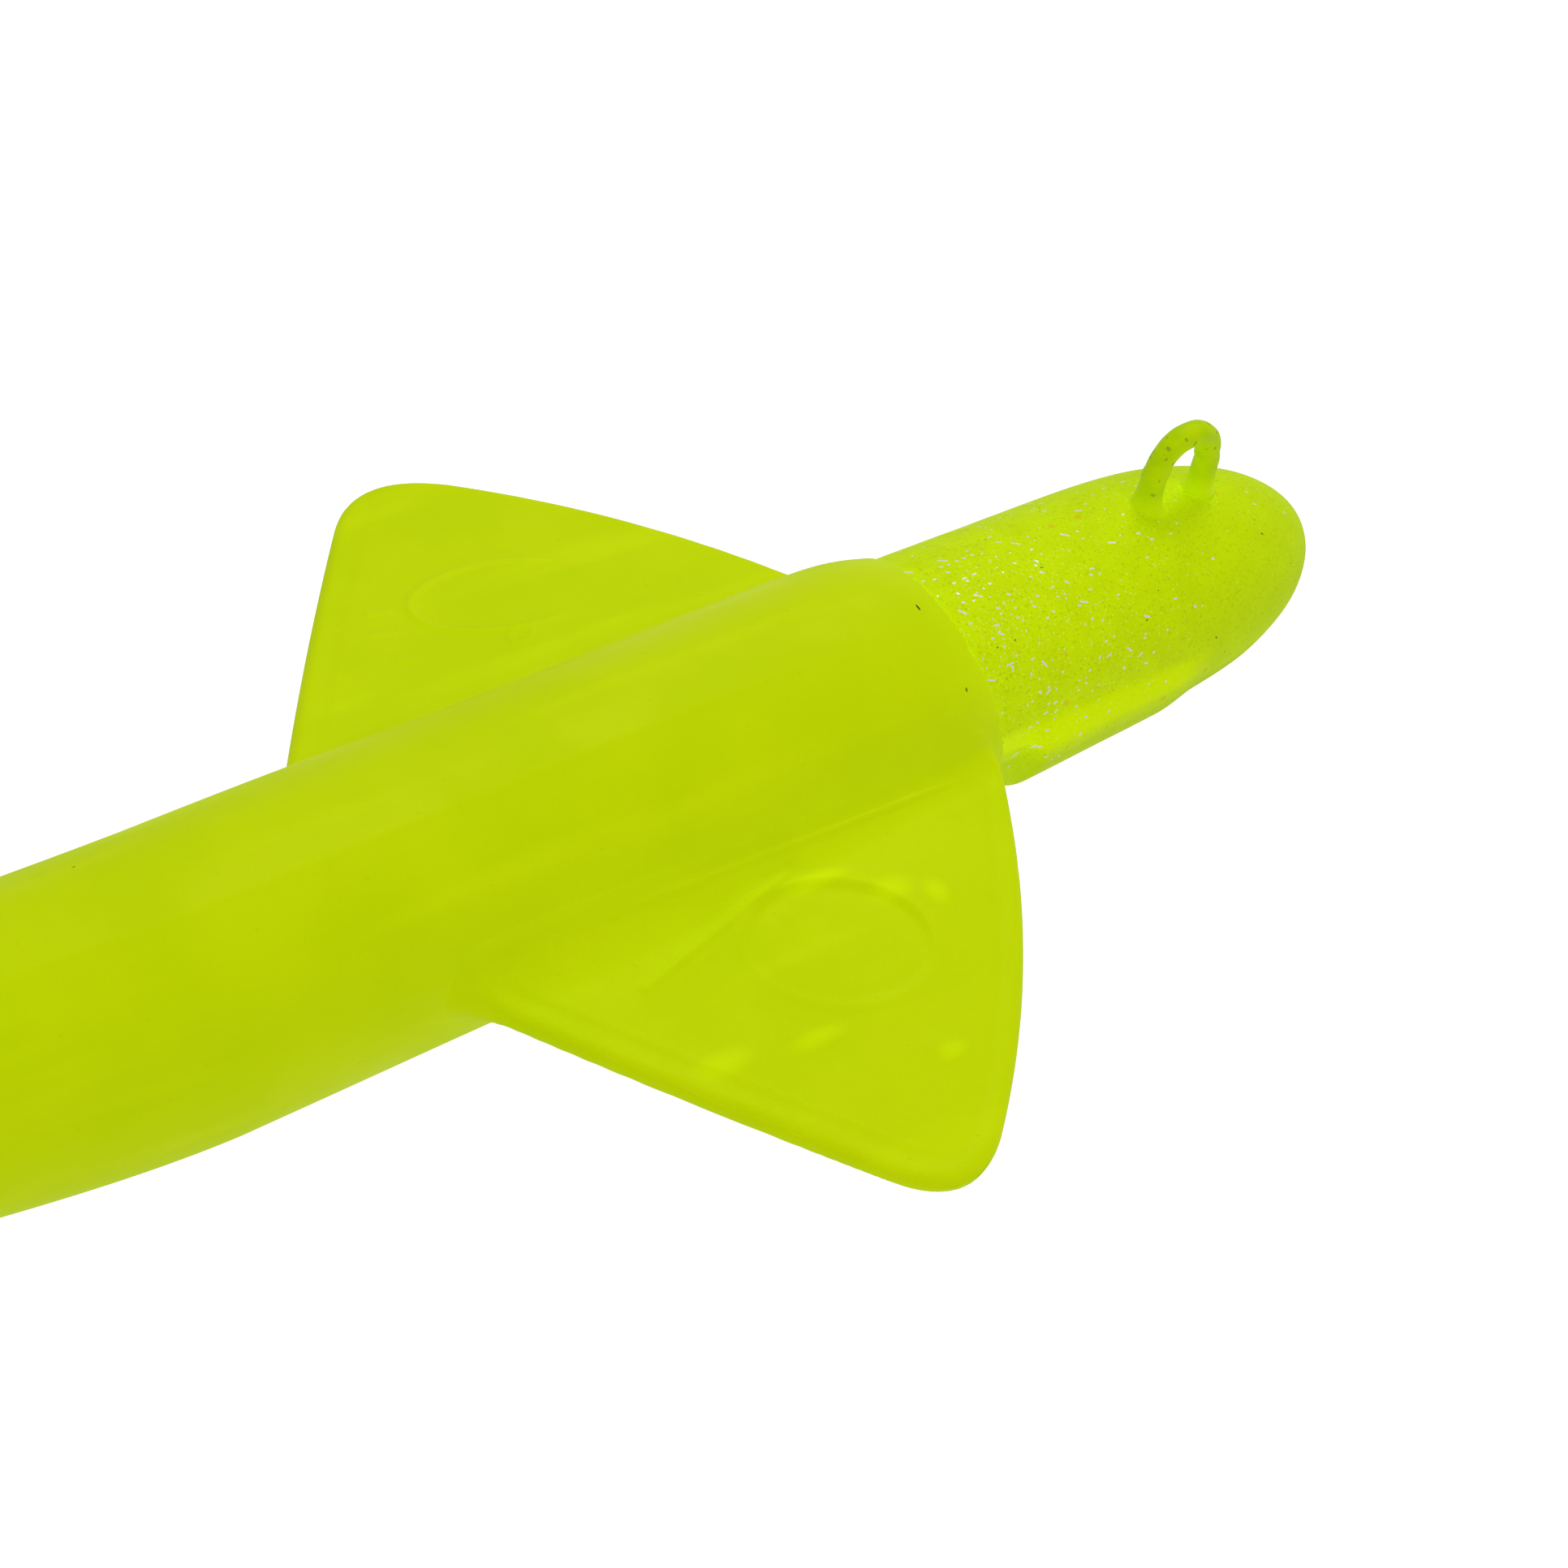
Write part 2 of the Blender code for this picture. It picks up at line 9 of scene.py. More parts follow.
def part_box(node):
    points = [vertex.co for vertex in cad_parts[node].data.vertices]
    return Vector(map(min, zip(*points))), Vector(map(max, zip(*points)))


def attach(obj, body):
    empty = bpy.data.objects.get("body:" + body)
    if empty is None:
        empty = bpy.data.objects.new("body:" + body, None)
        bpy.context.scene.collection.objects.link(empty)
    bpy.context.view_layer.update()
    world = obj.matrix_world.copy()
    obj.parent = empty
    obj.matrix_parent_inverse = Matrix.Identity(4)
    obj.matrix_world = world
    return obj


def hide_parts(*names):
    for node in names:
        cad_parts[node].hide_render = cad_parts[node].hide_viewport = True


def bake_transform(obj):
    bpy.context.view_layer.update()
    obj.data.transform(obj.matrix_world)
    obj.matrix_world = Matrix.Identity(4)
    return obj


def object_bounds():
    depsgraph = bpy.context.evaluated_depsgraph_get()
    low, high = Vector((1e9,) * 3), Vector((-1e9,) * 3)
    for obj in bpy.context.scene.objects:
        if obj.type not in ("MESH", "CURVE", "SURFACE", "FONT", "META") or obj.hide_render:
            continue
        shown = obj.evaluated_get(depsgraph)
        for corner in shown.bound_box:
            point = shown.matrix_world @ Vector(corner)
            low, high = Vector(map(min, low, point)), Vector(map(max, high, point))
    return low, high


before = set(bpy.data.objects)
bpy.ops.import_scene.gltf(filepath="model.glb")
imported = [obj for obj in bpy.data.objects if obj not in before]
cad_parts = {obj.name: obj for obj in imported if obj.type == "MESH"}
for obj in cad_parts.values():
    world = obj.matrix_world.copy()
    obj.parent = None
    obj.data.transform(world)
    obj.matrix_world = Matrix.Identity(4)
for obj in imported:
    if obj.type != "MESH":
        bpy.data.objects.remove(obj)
CAD_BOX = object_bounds()

# The jig's own places: x runs forward from the seam between the lead head and the soft body,
# y and z are measured from the head's axis. Lengths are metres.
MM = 0.001
MANTLE_LOW, MANTLE_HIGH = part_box("mantle")
NOSE_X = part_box("lead_head")[1].x
AXIS_Z = (MANTLE_LOW.z + MANTLE_HIGH.z) / 2
HEAD_LENGTH = 65.7 * MM
SEAM = Vector((NOSE_X - HEAD_LENGTH, 0, AXIS_Z))
MANTLE_END = MANTLE_LOW.x - SEAM.x

HEAD_RADIUS = 16 * MM
HEAD_STRAIGHT = 29.2 * MM
HEAD_NOSE = HEAD_LENGTH - HEAD_STRAIGHT
NOSE_POWER = 2.21
BELLY_DEPTH = 14.5 * MM
CHINE_DEPTH = 2.35 * MM
CHINE_THINNING = 0.058
CHINE_FADE = (31 * MM, 38.5 * MM)

RIM_TILT = math.tan(math.radians(15))
RIM_RADIUS = 16.5 * MM
MANTLE_FRONT_RADIUS = 18.2 * MM
MANTLE_RADIUS = 18.75 * MM
MANTLE_WIDEST = -113 * MM
MANTLE_REAR_RADIUS = 15.9 * MM
MANTLE_BORE = 14.8 * MM
MANTLE_SAG = 2.5 * MM

TIE_MIDDLE_X = 39 * MM
TIE_HALF_WIDTH = 4.4 * MM
TIE_TOP = 26 * MM
TIE_WIRE = 1.72 * MM

FIN_HINGE_Y = 20.8 * MM
FIN_THICKNESS = 2.7 * MM

EYE_X = -176 * MM
EYE_SEAT_Y = 13.5 * MM
EYE_RADIUS = 5.2 * MM
EYE_HEIGHT = 4.2 * MM

# The chain behind the through-wire, each link hooked through the one before.
SWIVEL_FRONT_X = -122.4 * MM
BARREL_FRONT_X = -127.2 * MM
BARREL_REAR_X = -136.2 * MM
SWIVEL_REAR_X = -141.0 * MM
SPLIT_RING_X = -146.7 * MM
HOOK_EYE_X = -152.2 * MM

CAMERA_AIM = Vector((-24.35, -3.06, -7.12)) * MM
CAMERA_AZIMUTH = math.radians(-44.98)
CAMERA_ELEVATION = math.radians(42.85)
CAMERA_ROLL = math.radians(12.1)
CAMERA_DISTANCE = 470.6 * MM
CAMERA_LENS = 84.12

CHARTREUSE = (0.505, 0.640, 0.0008)
CHARTREUSE_DEEP = (0.478, 0.622, 0.0005)
DARKER_TONE_AND_PAINTED_SHADE = (0.400, 0.560, 0.0005)
CHARTREUSE_LIGHT = (0.580, 0.720, 0.0020)
PAINT = (0.530, 0.745, 0.0010)
PAINT_BRIGHT = (0.590, 0.810, 0.0010)
PAINTED_HIGHLIGHT = (0.740, 0.980, 0.0010)
TIE_PAINT = (0.400, 0.600, 0.0010)
TIE_PAINT_LIGHT = (0.460, 0.640, 0.0010)
CHIPPED = (0.10, 0.16, 0.02)
SILVER = (0.70, 0.70, 0.78)
FROST = (0.80, 0.88, 0.20)
AMBER = (0.70, 0.42, 0.010)
DIRT = (0.035, 0.040, 0.010)
# Strengths of the painted glow in the soft plastic and the paints, then of the floor and the sky.
PAINTED_GLOW = 0.46
HEAD_PAINTED_GLOW = 0.37
FLOOR_GLOW = 0.36
SKY_STRENGTH = 0.235

# Marks on the soft plastic: each middle and half size, in millimetres from the seam. The rim specks are
# dark specks, the fin patches painted highlights on the near fin.
RIM_SPECKS = (
    ((-6.8, -13.5, 10.4), (0.35, 0.45, 0.6)),
    ((-8.0, -3.5, 16.8), (0.16, 0.5, 2.0)),
)
FIN_HIGHLIGHT_PATCHES = (
    ((-62.5, -41.1, 0), (3.4, 1.5, 12)),
    ((-49.8, -42.9, 0), (3.4, 1.0, 12)),
    ((-35.4, -51.3, 0), (1.8, 1.0, 12)),
    ((-23.5, -32.1, 0), (1.3, 1.6, 12)),
    ((-37.0, -24.6, 0), (4.4, 0.9, 12)),
    ((-28.5, -29.4, 0), (2.4, 1.5, 12)),
)


def at(x, y=0.0, z=0.0):
    """A place given along the jig's axis, in the object's own frame."""
    return SEAM + Vector((x, y, z))


def ramp(value, low, high):
    share = min(1.0, max(0.0, (value - low) / (high - low)))
    return share * share * (3 - 2 * share)


def hump(value, middle, width):
    return math.exp(-(((value - middle) / width) ** 2))


# Meshes -----------------------------------------

def show(name, bm, material):
    """Puts a finished bmesh in the scene."""
    mesh = bpy.data.meshes.new(name)
    bm.to_mesh(mesh)
    bm.free()
    mesh.materials.append(material)
    made = bpy.data.objects.new(name, mesh)
    bpy.context.scene.collection.objects.link(made)
    return made


def piece_from(name, bm, material, slot, body, *nodes):
    """Makes a closed, smooth piece that rides on a body."""
    bmesh.ops.remove_doubles(bm, verts=bm.verts, dist=1e-7)
    bmesh.ops.recalc_face_normals(bm, faces=bm.faces)
    piece = show(name, bm, material)
    piece.data.shade_smooth()
    if nodes:
        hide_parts(*nodes)
    if body:
        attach(piece, body)
    return piece


def wrap(bm, rows, around, place, loop=False):
    """A grid rolled into a tube: place(row, angle) says where each point goes. A loop of rows
    also closes end to end. Rows whose points all meet make a closed pole."""
    row_steps = rows if loop else rows - 1
    made = bmesh.ops.create_grid(bm, x_segments=row_steps, y_segments=around, size=0.5)
    for vert in made["verts"]:
        row = round((vert.co.x + 0.5) * row_steps) % rows
        angle = 2 * math.pi * round((vert.co.y + 0.5) * around) / around
        vert.co = place(row, angle)
    return made["verts"]


def sweep(bm, path, radii, around, loop=False):
    """A round bar along a path, with a radius for each of its points."""
    count = len(path)
    tangents = []
    for index in range(count):
        before = path[index - 1] if loop or index else path[0]
        after = path[(index + 1) % count] if loop or index < count - 1 else path[-1]
        tangents.append((after - before).normalized())
    side = tangents[0].orthogonal().normalized()
    sides = [side]
    for first, second in zip(tangents, tangents[1:]):
        side = first.rotation_difference(second) @ side
        side = (side - second * side.dot(second)).normalized()
        sides.append(side)

    def place(row, angle):
        other = tangents[row].cross(sides[row])
        out = sides[row] * math.cos(angle) + other * math.sin(angle)
        return path[row] + out * radii[row]

    return wrap(bm, count, around, place, loop)


def smooth_path(points, steps):
    """Points along a smooth curve that passes through the given ones."""
    ends = [points[0] * 2 - points[1]] + points + [points[-1] * 2 - points[-2]]
    made = []
    for a, b, c, d in zip(ends, ends[1:], ends[2:], ends[3:]):
        for step in range(steps):
            t = step / steps
            made.append(
                (b * 2 + (c - a) * t + (a * 2 - b * 5 + c * 4 - d) * t**2
                 + (b * 3 - a - c * 3 + d) * t**3) * 0.5
            )
    return made + [points[-1]]


def arc(centre_x, centre_z, radius, start, end, steps):
    """Places on a circle in the upright plane along the jig, angles from +X towards +Z."""
    angles = [start + (end - start) * step / steps for step in range(steps + 1)]
    return [at(centre_x + radius * math.cos(a), 0, centre_z + radius * math.sin(a)) for a in angles]


# Shader parts -----------------------------------

class Graph:
    """A node tree with short calls for the nodes these materials use."""

    def __init__(self, tree):
        self.tree = tree

    def add(self, kind, operation=None, **values):
        made = self.tree.nodes.new(kind)
        if operation:
            made.operation = operation
        for key, value in values.items():
            setattr(made, key, value)
        return made

    def put(self, socket, value):
        if isinstance(value, bpy.types.NodeSocket):
            self.tree.links.new(value, socket)
        else:
            socket.default_value = value

    def math(self, operation, first, second=0.0):
        made = self.add("ShaderNodeMath", operation)
        self.put(made.inputs[0], first)
        self.put(made.inputs[1], second)
        return made.outputs[0]

    def times(self, first, second):
        return self.math("MULTIPLY", first, second)

    def vector(self, operation, first, second=(0, 0, 0)):
        made = self.add("ShaderNodeVectorMath", operation)
        self.put(made.inputs[0], first)
        self.put(made.inputs[1], second)
        return made.outputs["Value" if operation in ("DOT_PRODUCT", "LENGTH") else 0]

    def flat(self, vector, facing):
        """What is left of a vector without its part along facing."""
        part = self.add("ShaderNodeVectorMath", "SCALE")
        self.put(part.inputs[0], facing)
        self.put(part.inputs["Scale"], self.vector("DOT_PRODUCT", vector, facing))
        return self.vector("SUBTRACT", vector, part.outputs[0])

    def mix(self, share, first, second):
        made = self.add("ShaderNodeMix", data_type="RGBA")
        self.put(made.inputs[0], share)
        self.put(made.inputs[6], first)
        self.put(made.inputs[7], second)
        return made.outputs[2]

    def tint(self, colour, mask, amount, tone):
        """Lays a tone over the colour where the mask shows, at most by the amount."""
        return self.mix(self.times(mask, amount), colour, (*tone, 1))

    def noise(self, place, scale, detail=3.0, rough=0.5):
        made = self.add("ShaderNodeTexNoise")
        self.put(made.inputs["Vector"], place)
        self.put(made.inputs["Scale"], scale)
        self.put(made.inputs["Detail"], detail)
        self.put(made.inputs["Roughness"], rough)
        return made.outputs["Fac"]

    def band(self, value, low, high, start=0.0, end=1.0):
        made = self.add("ShaderNodeMapRange", interpolation_type="SMOOTHSTEP")
        for socket, number in zip(made.inputs, (value, low, high, start, end)):
            self.put(socket, number)
        return made.outputs[0]


def group(name, inputs, outputs):
    """An empty node group with named sockets; each is (name, socket type, default)."""
    tree = bpy.data.node_groups.new(name, "ShaderNodeTree")
    for label, kind, default in inputs:
        socket = tree.interface.new_socket(label, in_out="INPUT", socket_type=kind)
        if default is not None:
            socket.default_value = default
    for label, kind in outputs:
        tree.interface.new_socket(label, in_out="OUTPUT", socket_type=kind)
    graph = Graph(tree)
    return graph, graph.add("NodeGroupInput").outputs, graph.add("NodeGroupOutput").inputs


FLOAT, VECTOR = "NodeSocketFloat", "NodeSocketVector"


def make_flecks_group():
    """Small rods scattered through the paint, each lying its own way: 1 where one shows."""
    inputs = [("Place", VECTOR, None), ("Facing", VECTOR, None), ("Cells", FLOAT, 800.0),
              ("Half length", FLOAT, 0.0003), ("Half width", FLOAT, 0.0001), ("Share", FLOAT, 0.5)]
    g, taken, given = group("flecks", inputs, [("Mask", FLOAT)])
    cells = g.add("ShaderNodeTexVoronoi")
    g.put(cells.inputs["Vector"], taken["Place"])
    g.put(cells.inputs["Scale"], taken["Cells"])
    offset = g.flat(g.vector("SUBTRACT", taken["Place"], cells.outputs["Position"]), taken["Facing"])
    way = g.flat(g.vector("SUBTRACT", cells.outputs["Color"], (0.5, 0.5, 0.5)), taken["Facing"])
    way = g.vector("NORMALIZE", way)
    along = g.vector("DOT_PRODUCT", offset, way)
    across = g.vector("LENGTH", g.flat(offset, way))
    split = g.add("ShaderNodeSeparateColor")
    g.put(split.inputs[0], cells.outputs["Color"])
    length = g.times(taken["Half length"], g.band(split.outputs[1], 0.0, 1.0, 0.25, 1.4))
    inside = g.math("LESS_THAN", g.math("ABSOLUTE", along), length)
    thin = g.math("LESS_THAN", across, taken["Half width"])
    chosen = g.math("LESS_THAN", split.outputs[0], taken["Share"])
    g.put(given["Mask"], g.times(g.times(inside, thin), chosen))
    return g.tree


def make_skin_group():
    """Fine unevenness of a cast or moulded skin: a height for bump and a slow mottle."""
    inputs = [("Place", VECTOR, None), ("Grain", FLOAT, 900.0), ("Waves", FLOAT, 90.0)]
    g, taken, given = group("moulded_skin", inputs, [("Height", FLOAT), ("Mottle", FLOAT)])
    fine = g.noise(taken["Place"], taken["Grain"], 2.0, 0.55)
    broad = g.noise(taken["Place"], taken["Waves"], 3.0, 0.5)
    g.put(given["Height"], g.math("ADD", g.times(fine, 0.4), broad))
    g.put(given["Mottle"], g.band(broad, 0.35, 0.65))
    return g.tree


def flecks(g, place, cells, half_length, half_width, share, shift=None):
    """Flecks lying in the surface, with their sizes in metres and the share of cells filled.
    A shift gives one scatter other places than the next."""
    if shift:
        place = g.vector("ADD", place, shift)
    return place_group(
        g, FLECKS, Place=place, Facing=g.facing, Cells=cells, Half_length=half_length,
        Half_width=half_width, Share=share
    )["Mask"]


def place_group(g, tree, **values):
    made = g.add("ShaderNodeGroup")
    made.node_tree = tree
    for label, value in values.items():
        g.put(made.inputs[label.replace("_", " ")], value)
    return made.outputs


def material(name, roughness, **constants):
    """A new material: its graph, its shader's inputs and the Object coordinates."""
    made = bpy.data.materials.new(name)
    made.use_nodes = True
    g = Graph(made.node_tree)
    shader = made.node_tree.nodes["Principled BSDF"]
    shader.inputs["Roughness"].default_value = roughness
    for label, value in constants.items():
        shader.inputs[label.replace("_", " ")].default_value = value
    coordinates = g.add("ShaderNodeTexCoord").outputs
    g.facing = coordinates["Normal"]
    return made, g, shader.inputs, coordinates["Object"]


def jig_axes(g, place):
    """How far a point lies ahead of the seam, and how far above the head's axis."""
    split = g.add("ShaderNodeSeparateXYZ")
    g.put(split.inputs[0], place)
    forward = g.math("SUBTRACT", split.outputs["X"], SEAM.x)
    return forward, g.math("SUBTRACT", split.outputs["Z"], SEAM.z)


def spot(g, place, middle, half, edge, core, strength=1.0):
    """One soft-edged oval mark, with its middle and half sizes in millimetres."""
    off = g.vector("SUBTRACT", place, at(*[value * MM for value in middle]))
    off = g.vector("DIVIDE", off, [value * MM for value in half])
    return g.band(g.vector("LENGTH", off), edge, core, 0.0, strength)


def coat(g, shader, colour, roughness):
    """The colour feeds the emission too: a painted glow in the finish's own colour, standing in for
    fluorescence.
    """
    g.put(shader["Base Color"], colour)
    g.put(shader["Emission Color"], colour)
    g.put(shader["Roughness"], roughness)


def bump(g, shader, height, strength, distance):
    made = g.add("ShaderNodeBump")
    made.inputs["Strength"].default_value = strength
    made.inputs["Distance"].default_value = distance
    g.put(made.inputs["Height"], height)
    g.put(shader["Normal"], made.outputs["Normal"])


FLECKS = make_flecks_group()
SKIN = make_skin_group()


def make_soft_plastic():
    """Fluorescent soft plastic: even, faintly cloudy, with a satin skin, a few specks, a painted glow,
    lighter streaks painted as highlights and painted highlight patches on the near fin.
    """
    made, g, shader, place = material(
        "soft_plastic", 0.5, Subsurface_Weight=0.2, Subsurface_Scale=0.003,
        Specular_IOR_Level=0.1, Emission_Strength=PAINTED_GLOW
    )
    shader["Subsurface Radius"].default_value = (1.0, 1.0, 0.05)
    shader["Specular Tint"].default_value = (0.85, 1.0, 0.02, 1)
    skin = place_group(g, SKIN, Place=place, Grain=1500.0, Waves=60.0)
    # Painted highlights: lighter streaks along the mantle's length.
    highlight_streaks = g.noise(g.vector("MULTIPLY", place, (0.12, 1.0, 1.0)), 140.0, 2.0, 0.5)
    colour = g.mix(skin["Mottle"], (*CHARTREUSE, 1), (*CHARTREUSE_DEEP, 1))
    colour = g.mix(g.band(highlight_streaks, 0.52, 0.78, 0.0, 0.35), colour, (*CHARTREUSE_LIGHT, 1))
    motes = flecks(g, place, 200.0, 0.00022, 0.00018, 0.18)
    dirt = flecks(g, place, 60.0, 0.00028, 0.00011, 0.06, (0.031, 0.017, 0.023))
    colour = g.tint(colour, motes, 0.35, DARKER_TONE_AND_PAINTED_SHADE)
    colour = g.tint(colour, dirt, 0.8, DIRT)
    for middle, half in RIM_SPECKS:
        colour = g.mix(spot(g, place, middle, half, 1.2, 0.8), colour, (*DIRT, 1))
    # Painted highlights: lighter patches on the near fin.
    for middle, half in FIN_HIGHLIGHT_PATCHES:
        colour = g.mix(spot(g, place, middle, half, 1.7, 0.2, 0.24), colour, (*PAINTED_HIGHLIGHT, 1))
    coat(g, shader, colour, g.band(skin["Mottle"], 0.0, 1.0, 0.46, 0.55))
    bump(g, shader, skin["Height"], 0.12, 0.0004)
    return made


def make_glitter_paint():
    """The head's powder paint, with a painted glow: orange peel, silver flecks thick towards the body, a
    few amber ones, dark pinholes, a painted highlight along the chine ledge and painted shade on the lip
    below it."""
    made, g, shader, place = material(
        "glitter_paint", 0.55, Specular_IOR_Level=0.08, Emission_Strength=HEAD_PAINTED_GLOW
    )
    shader["Specular Tint"].default_value = (0.90, 1.0, 0.04, 1)
    skin = place_group(g, SKIN, Place=place, Grain=1300.0, Waves=260.0)
    forward, height = jig_axes(g, place)
    near = g.band(forward, 10 * MM, 44 * MM, 1.0, 0.05)
    # Painted highlight: a lighter band along the head's widest line, where the chine ledge starts.
    ledge_highlight = g.band(height, -3.0 * MM, -1.2 * MM)
    ledge_highlight = g.times(ledge_highlight, g.band(height, 0.4 * MM, 2.4 * MM, 1.0, 0.0))
    ledge_highlight = g.times(ledge_highlight, g.band(forward, *CHINE_FADE, 1.0, 0.0))
    patches = g.band(g.noise(place, 90.0), 0.36, 0.58, 0.35, 1.0)
    share = g.times(near, patches)
    share = g.times(share, g.band(height, -2.0 * MM, 9.0 * MM, 0.3, 1.0))
    dashes = flecks(g, place, 560.0, 0.00046, 0.00011, g.times(share, 0.19))
    few, many = g.times(share, 0.25), g.times(share, 0.7)
    dots = flecks(g, place, 760.0, 0.00021, 0.00013, few, (0.031, 0.017, 0.023))
    silver = g.math("MAXIMUM", dashes, dots)
    frost = flecks(g, place, 1300.0, 0.00014, 0.00010, many, (0.013, 0.041, 0.029))
    amber = flecks(g, place, 230.0, 0.0005, 0.0004, 0.10, (0.071, 0.057, 0.043))
    pinholes = flecks(g, place, 330.0, 0.00015, 0.00011, 0.06, (0.091, 0.037, 0.013))
    fine = g.noise(place, 2100.0, 2.0, 0.6)
    colour = g.mix(near, (*PAINT, 1), (*PAINT_BRIGHT, 1))
    colour = g.mix(g.band(fine, 0.52, 0.72, 0.0, 0.65), colour, (*DARKER_TONE_AND_PAINTED_SHADE, 1))
    colour = g.mix(g.band(fine, 0.48, 0.30, 0.0, 0.7), colour, (*CHARTREUSE_LIGHT, 1))
    colour = g.tint(colour, skin["Mottle"], 0.25, CHARTREUSE_DEEP)
    colour = g.tint(colour, amber, 0.45, AMBER)
    colour = g.tint(colour, pinholes, 0.7, DIRT)
    # Lays the painted highlight along the ledge.
    colour = g.tint(colour, ledge_highlight, 0.55, PAINTED_HIGHLIGHT)
    # Painted shade: the lip under the ledge darkens downward.
    colour = g.mix(g.band(height, -3.0 * MM, -5.5 * MM, 0.0, 0.4), colour, (*DARKER_TONE_AND_PAINTED_SHADE, 1))
    colour = g.tint(colour, frost, 0.32, FROST)
    colour = g.mix(silver, colour, (*SILVER, 1))
    coat(g, shader, colour, g.mix(silver, (0.55, 0.55, 0.55, 1), (0.28, 0.28, 0.28, 1)))
    g.put(shader["Metallic"], g.times(silver, 0.2))
    relief = g.math("ADD", skin["Height"], g.times(fine, 0.5))
    bump(g, shader, relief, 0.35, 0.0004)
    return made


def make_tie_paint():
    """Thicker, greener paint on the line tie, with chips down to dark metal."""
    made, g, shader, place = material(
        "tie_paint", 0.45, Specular_IOR_Level=0.14, Emission_Strength=PAINTED_GLOW * 0.9
    )
    shader["Specular Tint"].default_value = (0.90, 1.0, 0.05, 1)
    skin = place_group(g, SKIN, Place=place, Grain=1300.0, Waves=380.0)
    height = jig_axes(g, place)[1]
    up = g.band(height, HEAD_RADIUS - 0.5 * MM, HEAD_RADIUS + 3.5 * MM)
    colour = g.mix(skin["Mottle"], (*TIE_PAINT, 1), (*TIE_PAINT_LIGHT, 1))
    colour = g.mix(up, (*PAINT, 1), colour)
    chipped = g.band(height, HEAD_RADIUS + 3 * MM, HEAD_RADIUS + 8 * MM, 0.05, 0.5)
    chips = flecks(g, place, 620.0, 0.00027, 0.00022, chipped)
    colour = g.tint(colour, chips, 0.45, CHIPPED)
    coat(g, shader, colour, g.band(skin["Mottle"], 0.0, 1.0, 0.36, 0.55))
    bump(g, shader, skin["Height"], 0.5, 0.0004)
    return made


def make_metal(name, dark, light, rough, scale):
    """Drawn or plated wire: fine marks along it and slow changes of tone."""
    made, g, shader, place = material(name, rough, Metallic=1.0)
    marks = g.noise(g.vector("MULTIPLY", place, (0.15, 1.0, 1.0)), scale, 4.0, 0.65)
    cloud = g.noise(place, scale * 0.08, 2.0)
    share = g.times(marks, g.band(cloud, 0.3, 0.7, 0.5, 1.0))
    g.put(shader["Base Color"], g.mix(share, (*dark, 1), (*light, 1)))
    g.put(shader["Roughness"], g.band(marks, 0.3, 0.7, rough * 0.8, rough * 1.3))
    bump(g, shader, marks, 0.08, 0.0001)
    return made


def make_bare_lead():
    """Unpainted casting: dull grey with a cool mottle."""
    made, g, shader, place = material("bare_lead", 0.55, Metallic=0.9)
    skin = place_group(g, SKIN, Place=place, Grain=1200.0, Waves=260.0)
    g.put(shader["Base Color"], g.mix(skin["Mottle"], (0.20, 0.20, 0.22, 1), (0.34, 0.34, 0.36, 1)))
    g.put(shader["Roughness"], g.band(skin["Mottle"], 0.0, 1.0, 0.45, 0.65))
    bump(g, shader, skin["Height"], 0.4, 0.0004)
    return made


def make_eye_finish():
    """A moulded eye: black pupil, a streaked gold and silver iris, a dark outer ring."""
    made, g, shader, place = material(
        "eye_lens", 0.06, Specular_IOR_Level=0.6, Coat_Weight=1.0, Coat_Roughness=0.02
    )
    local = g.vector("MULTIPLY", g.vector("SUBTRACT", place, at(EYE_X)), (1, 0, 1))
    off = g.vector("LENGTH", local)
    spokes = g.noise(g.vector("NORMALIZE", local), 9.0, 4.0, 0.7)
    fine = g.noise(place, 1500.0, 2.0)
    silver = g.mix(fine, (0.42, 0.44, 0.42, 1), (0.78, 0.80, 0.76, 1))
    gold = g.mix(spokes, (0.30, 0.17, 0.02, 1), (0.85, 0.66, 0.14, 1))
    colour = g.mix(g.band(off, 3.0 * MM, 3.5 * MM), gold, silver)
    colour = g.mix(g.band(off, 2.05 * MM, 2.20 * MM), (0.004, 0.004, 0.005, 1), colour)
    colour = g.mix(g.band(off, 4.45 * MM, 4.7 * MM), colour, (0.02, 0.02, 0.015, 1))
    g.put(shader["Base Color"], colour)
    g.put(shader["Roughness"], g.band(fine, 0.3, 0.7, 0.04, 0.12))
    bump(g, shader, spokes, 0.05, 0.0002)
    return made


SOFT_PLASTIC = make_soft_plastic()
EYE_FINISH = make_eye_finish()
GLITTER_PAINT = make_glitter_paint()
TIE_FINISH = make_tie_paint()
STEEL = make_metal("stainless_wire", (0.42, 0.43, 0.45), (0.70, 0.71, 0.73), 0.28, 2200.0)
BLACK_NICKEL = make_metal("black_nickel", (0.045, 0.045, 0.055), (0.13, 0.13, 0.14), 0.22, 2400.0)
BARE_LEAD = make_bare_lead()


# Lead head --------------------------------------

def head_radius(x):
    if x <= HEAD_STRAIGHT:
        return HEAD_RADIUS
    share = min(1.0, (x - HEAD_STRAIGHT) / HEAD_NOSE)
    return HEAD_RADIUS * math.sqrt(max(0.0, 1 - share**NOSE_POWER))


